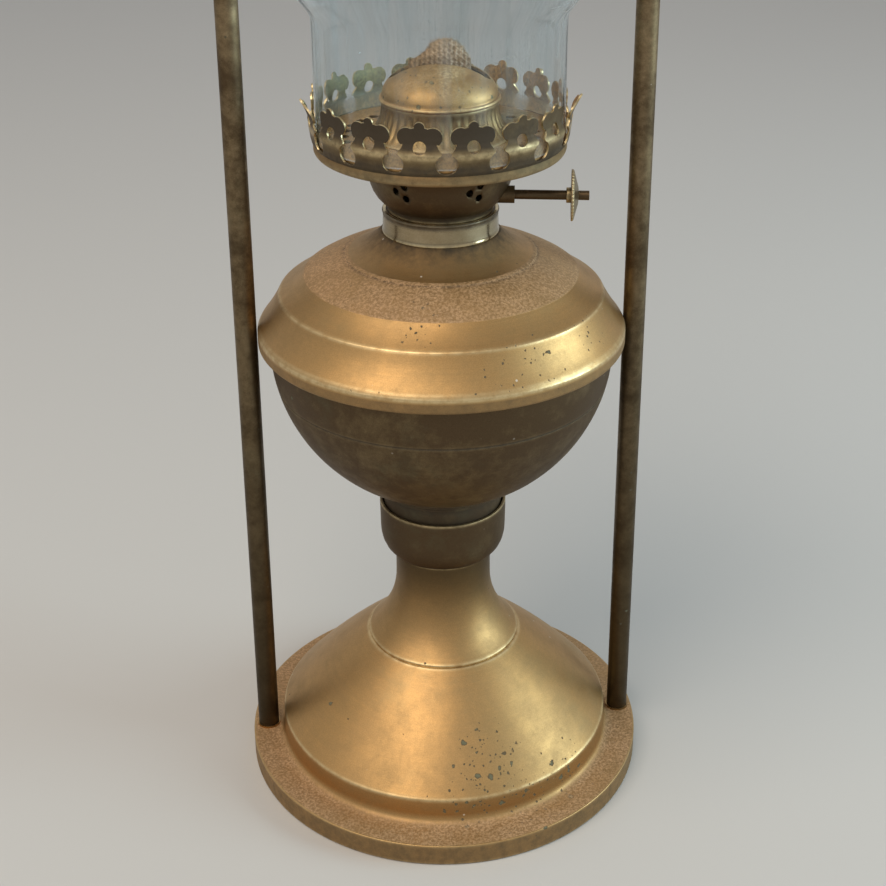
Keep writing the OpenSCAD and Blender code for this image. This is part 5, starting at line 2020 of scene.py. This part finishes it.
class LANTERN_OT_frame_parts(bpy.types.Operator):
    """Finishes of the tubes, fasteners, wheels and hidden pieces that keep the frame's own shape"""

    bl_idname = "lantern.frame_parts"
    bl_label = "Tubes and fasteners"

    def execute(self, context):
        finish = settings().finish
        tube_low, tube_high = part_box("upright_left")
        # The tubes get darker towards the bottom
        tube = metal(
            "Tube bronze",
            finish.bronze,
            finish.shade,
            tarnish=0.5,
            drift=30.0,
            rough=(0.42, 0.56),
            dust=(0.0, 0.0, 0.8),
            spots=(0.012, 0.0, 0.0),
            sink=(tube_low.z, tube_high.z, 0.9),
        )
        dress(tube, "upright_left", "upright_right")
        small = metal("Small brass", finish.brass, finish.tarnish, tarnish=0.4, rough=(0.22, 0.4), spots=(0.01, 0.0, 0.0))
        dress(small, "upright_ferrules", "cap_washers", "acorn_nuts", "cap_screws", "ear_rivets")
        wheel = metal("Wheel brass", finish.shade, finish.soot_and_shade, tarnish=0.3, wear=0.2, green=0.6)
        dress(wheel, "wick_wheels", "spindle", "wick_tube", "burner_plug")
        steel = dull_material("Plain steel", finish.steel, (0.2, 0.16, 0.12, 1), 40.0, 0.42, 0.00003, metallic=1.0)
        dress(steel, "tie_rod", "tie_washer", "tie_nut", "upright_studs", "foot_washers", "foot_nuts", "bottom_plate")
        iron = dull_material("Cast iron", finish.iron, (0.13, 0.07, 0.04, 1), 60.0, 0.75, 0.0003, metallic=0.6)
        dress(iron, "base_weight")
        felt = dull_material("Green felt", finish.felt, (0.05, 0.1, 0.065, 1), 300.0, 0.92, 0.0004)
        dress(felt, "felt_pad")
        cork = dull_material("Cork", finish.cork, (0.14, 0.07, 0.03, 1), 260.0, 0.85, 0.0002)
        dress(cork, "burner_gasket")
        return {"FINISHED"}


class LANTERN_PT_panel(bpy.types.Panel):
    """The lantern's settings and its makers, in the order in which they run"""

    bl_label = "Oil lantern"
    bl_idname = "LANTERN_PT_panel"
    bl_space_type = "VIEW_3D"
    bl_region_type = "UI"
    bl_category = "Lantern"

    def draw(self, context):
        layout = self.layout
        lantern = context.scene.lantern
        for part in (lantern.sizes, lantern.finish, lantern.stage):
            box = layout.box()
            for name in part.__annotations__:
                box.prop(part, name)
        for maker in MAKERS:
            layout.operator(maker.bl_idname)


MAKERS = (
    LANTERN_OT_stage,
    LANTERN_OT_foot,
    LANTERN_OT_reservoir,
    LANTERN_OT_burner,
    LANTERN_OT_wick,
    LANTERN_OT_chimney,
    LANTERN_OT_canopy,
    LANTERN_OT_frame_parts,
)
CLASSES = (LanternSizes, LanternFinish, LanternStage, LanternSettings, *MAKERS, LANTERN_PT_panel)


def register():
    for made in CLASSES:
        bpy.utils.register_class(made)
    bpy.types.Scene.lantern = PointerProperty(type=LanternSettings)


def unregister():
    del bpy.types.Scene.lantern
    for made in reversed(CLASSES):
        bpy.utils.unregister_class(made)


def main():
    """Builds the whole lantern"""
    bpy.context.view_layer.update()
    register()
    bpy.ops.lantern.stage()
    bpy.ops.lantern.foot()
    bpy.ops.lantern.reservoir()
    bpy.ops.lantern.burner()
    bpy.ops.lantern.wick()
    bpy.ops.lantern.chimney()
    bpy.ops.lantern.canopy()
    bpy.ops.lantern.frame_parts()


if __name__ == "__main__":
    main()
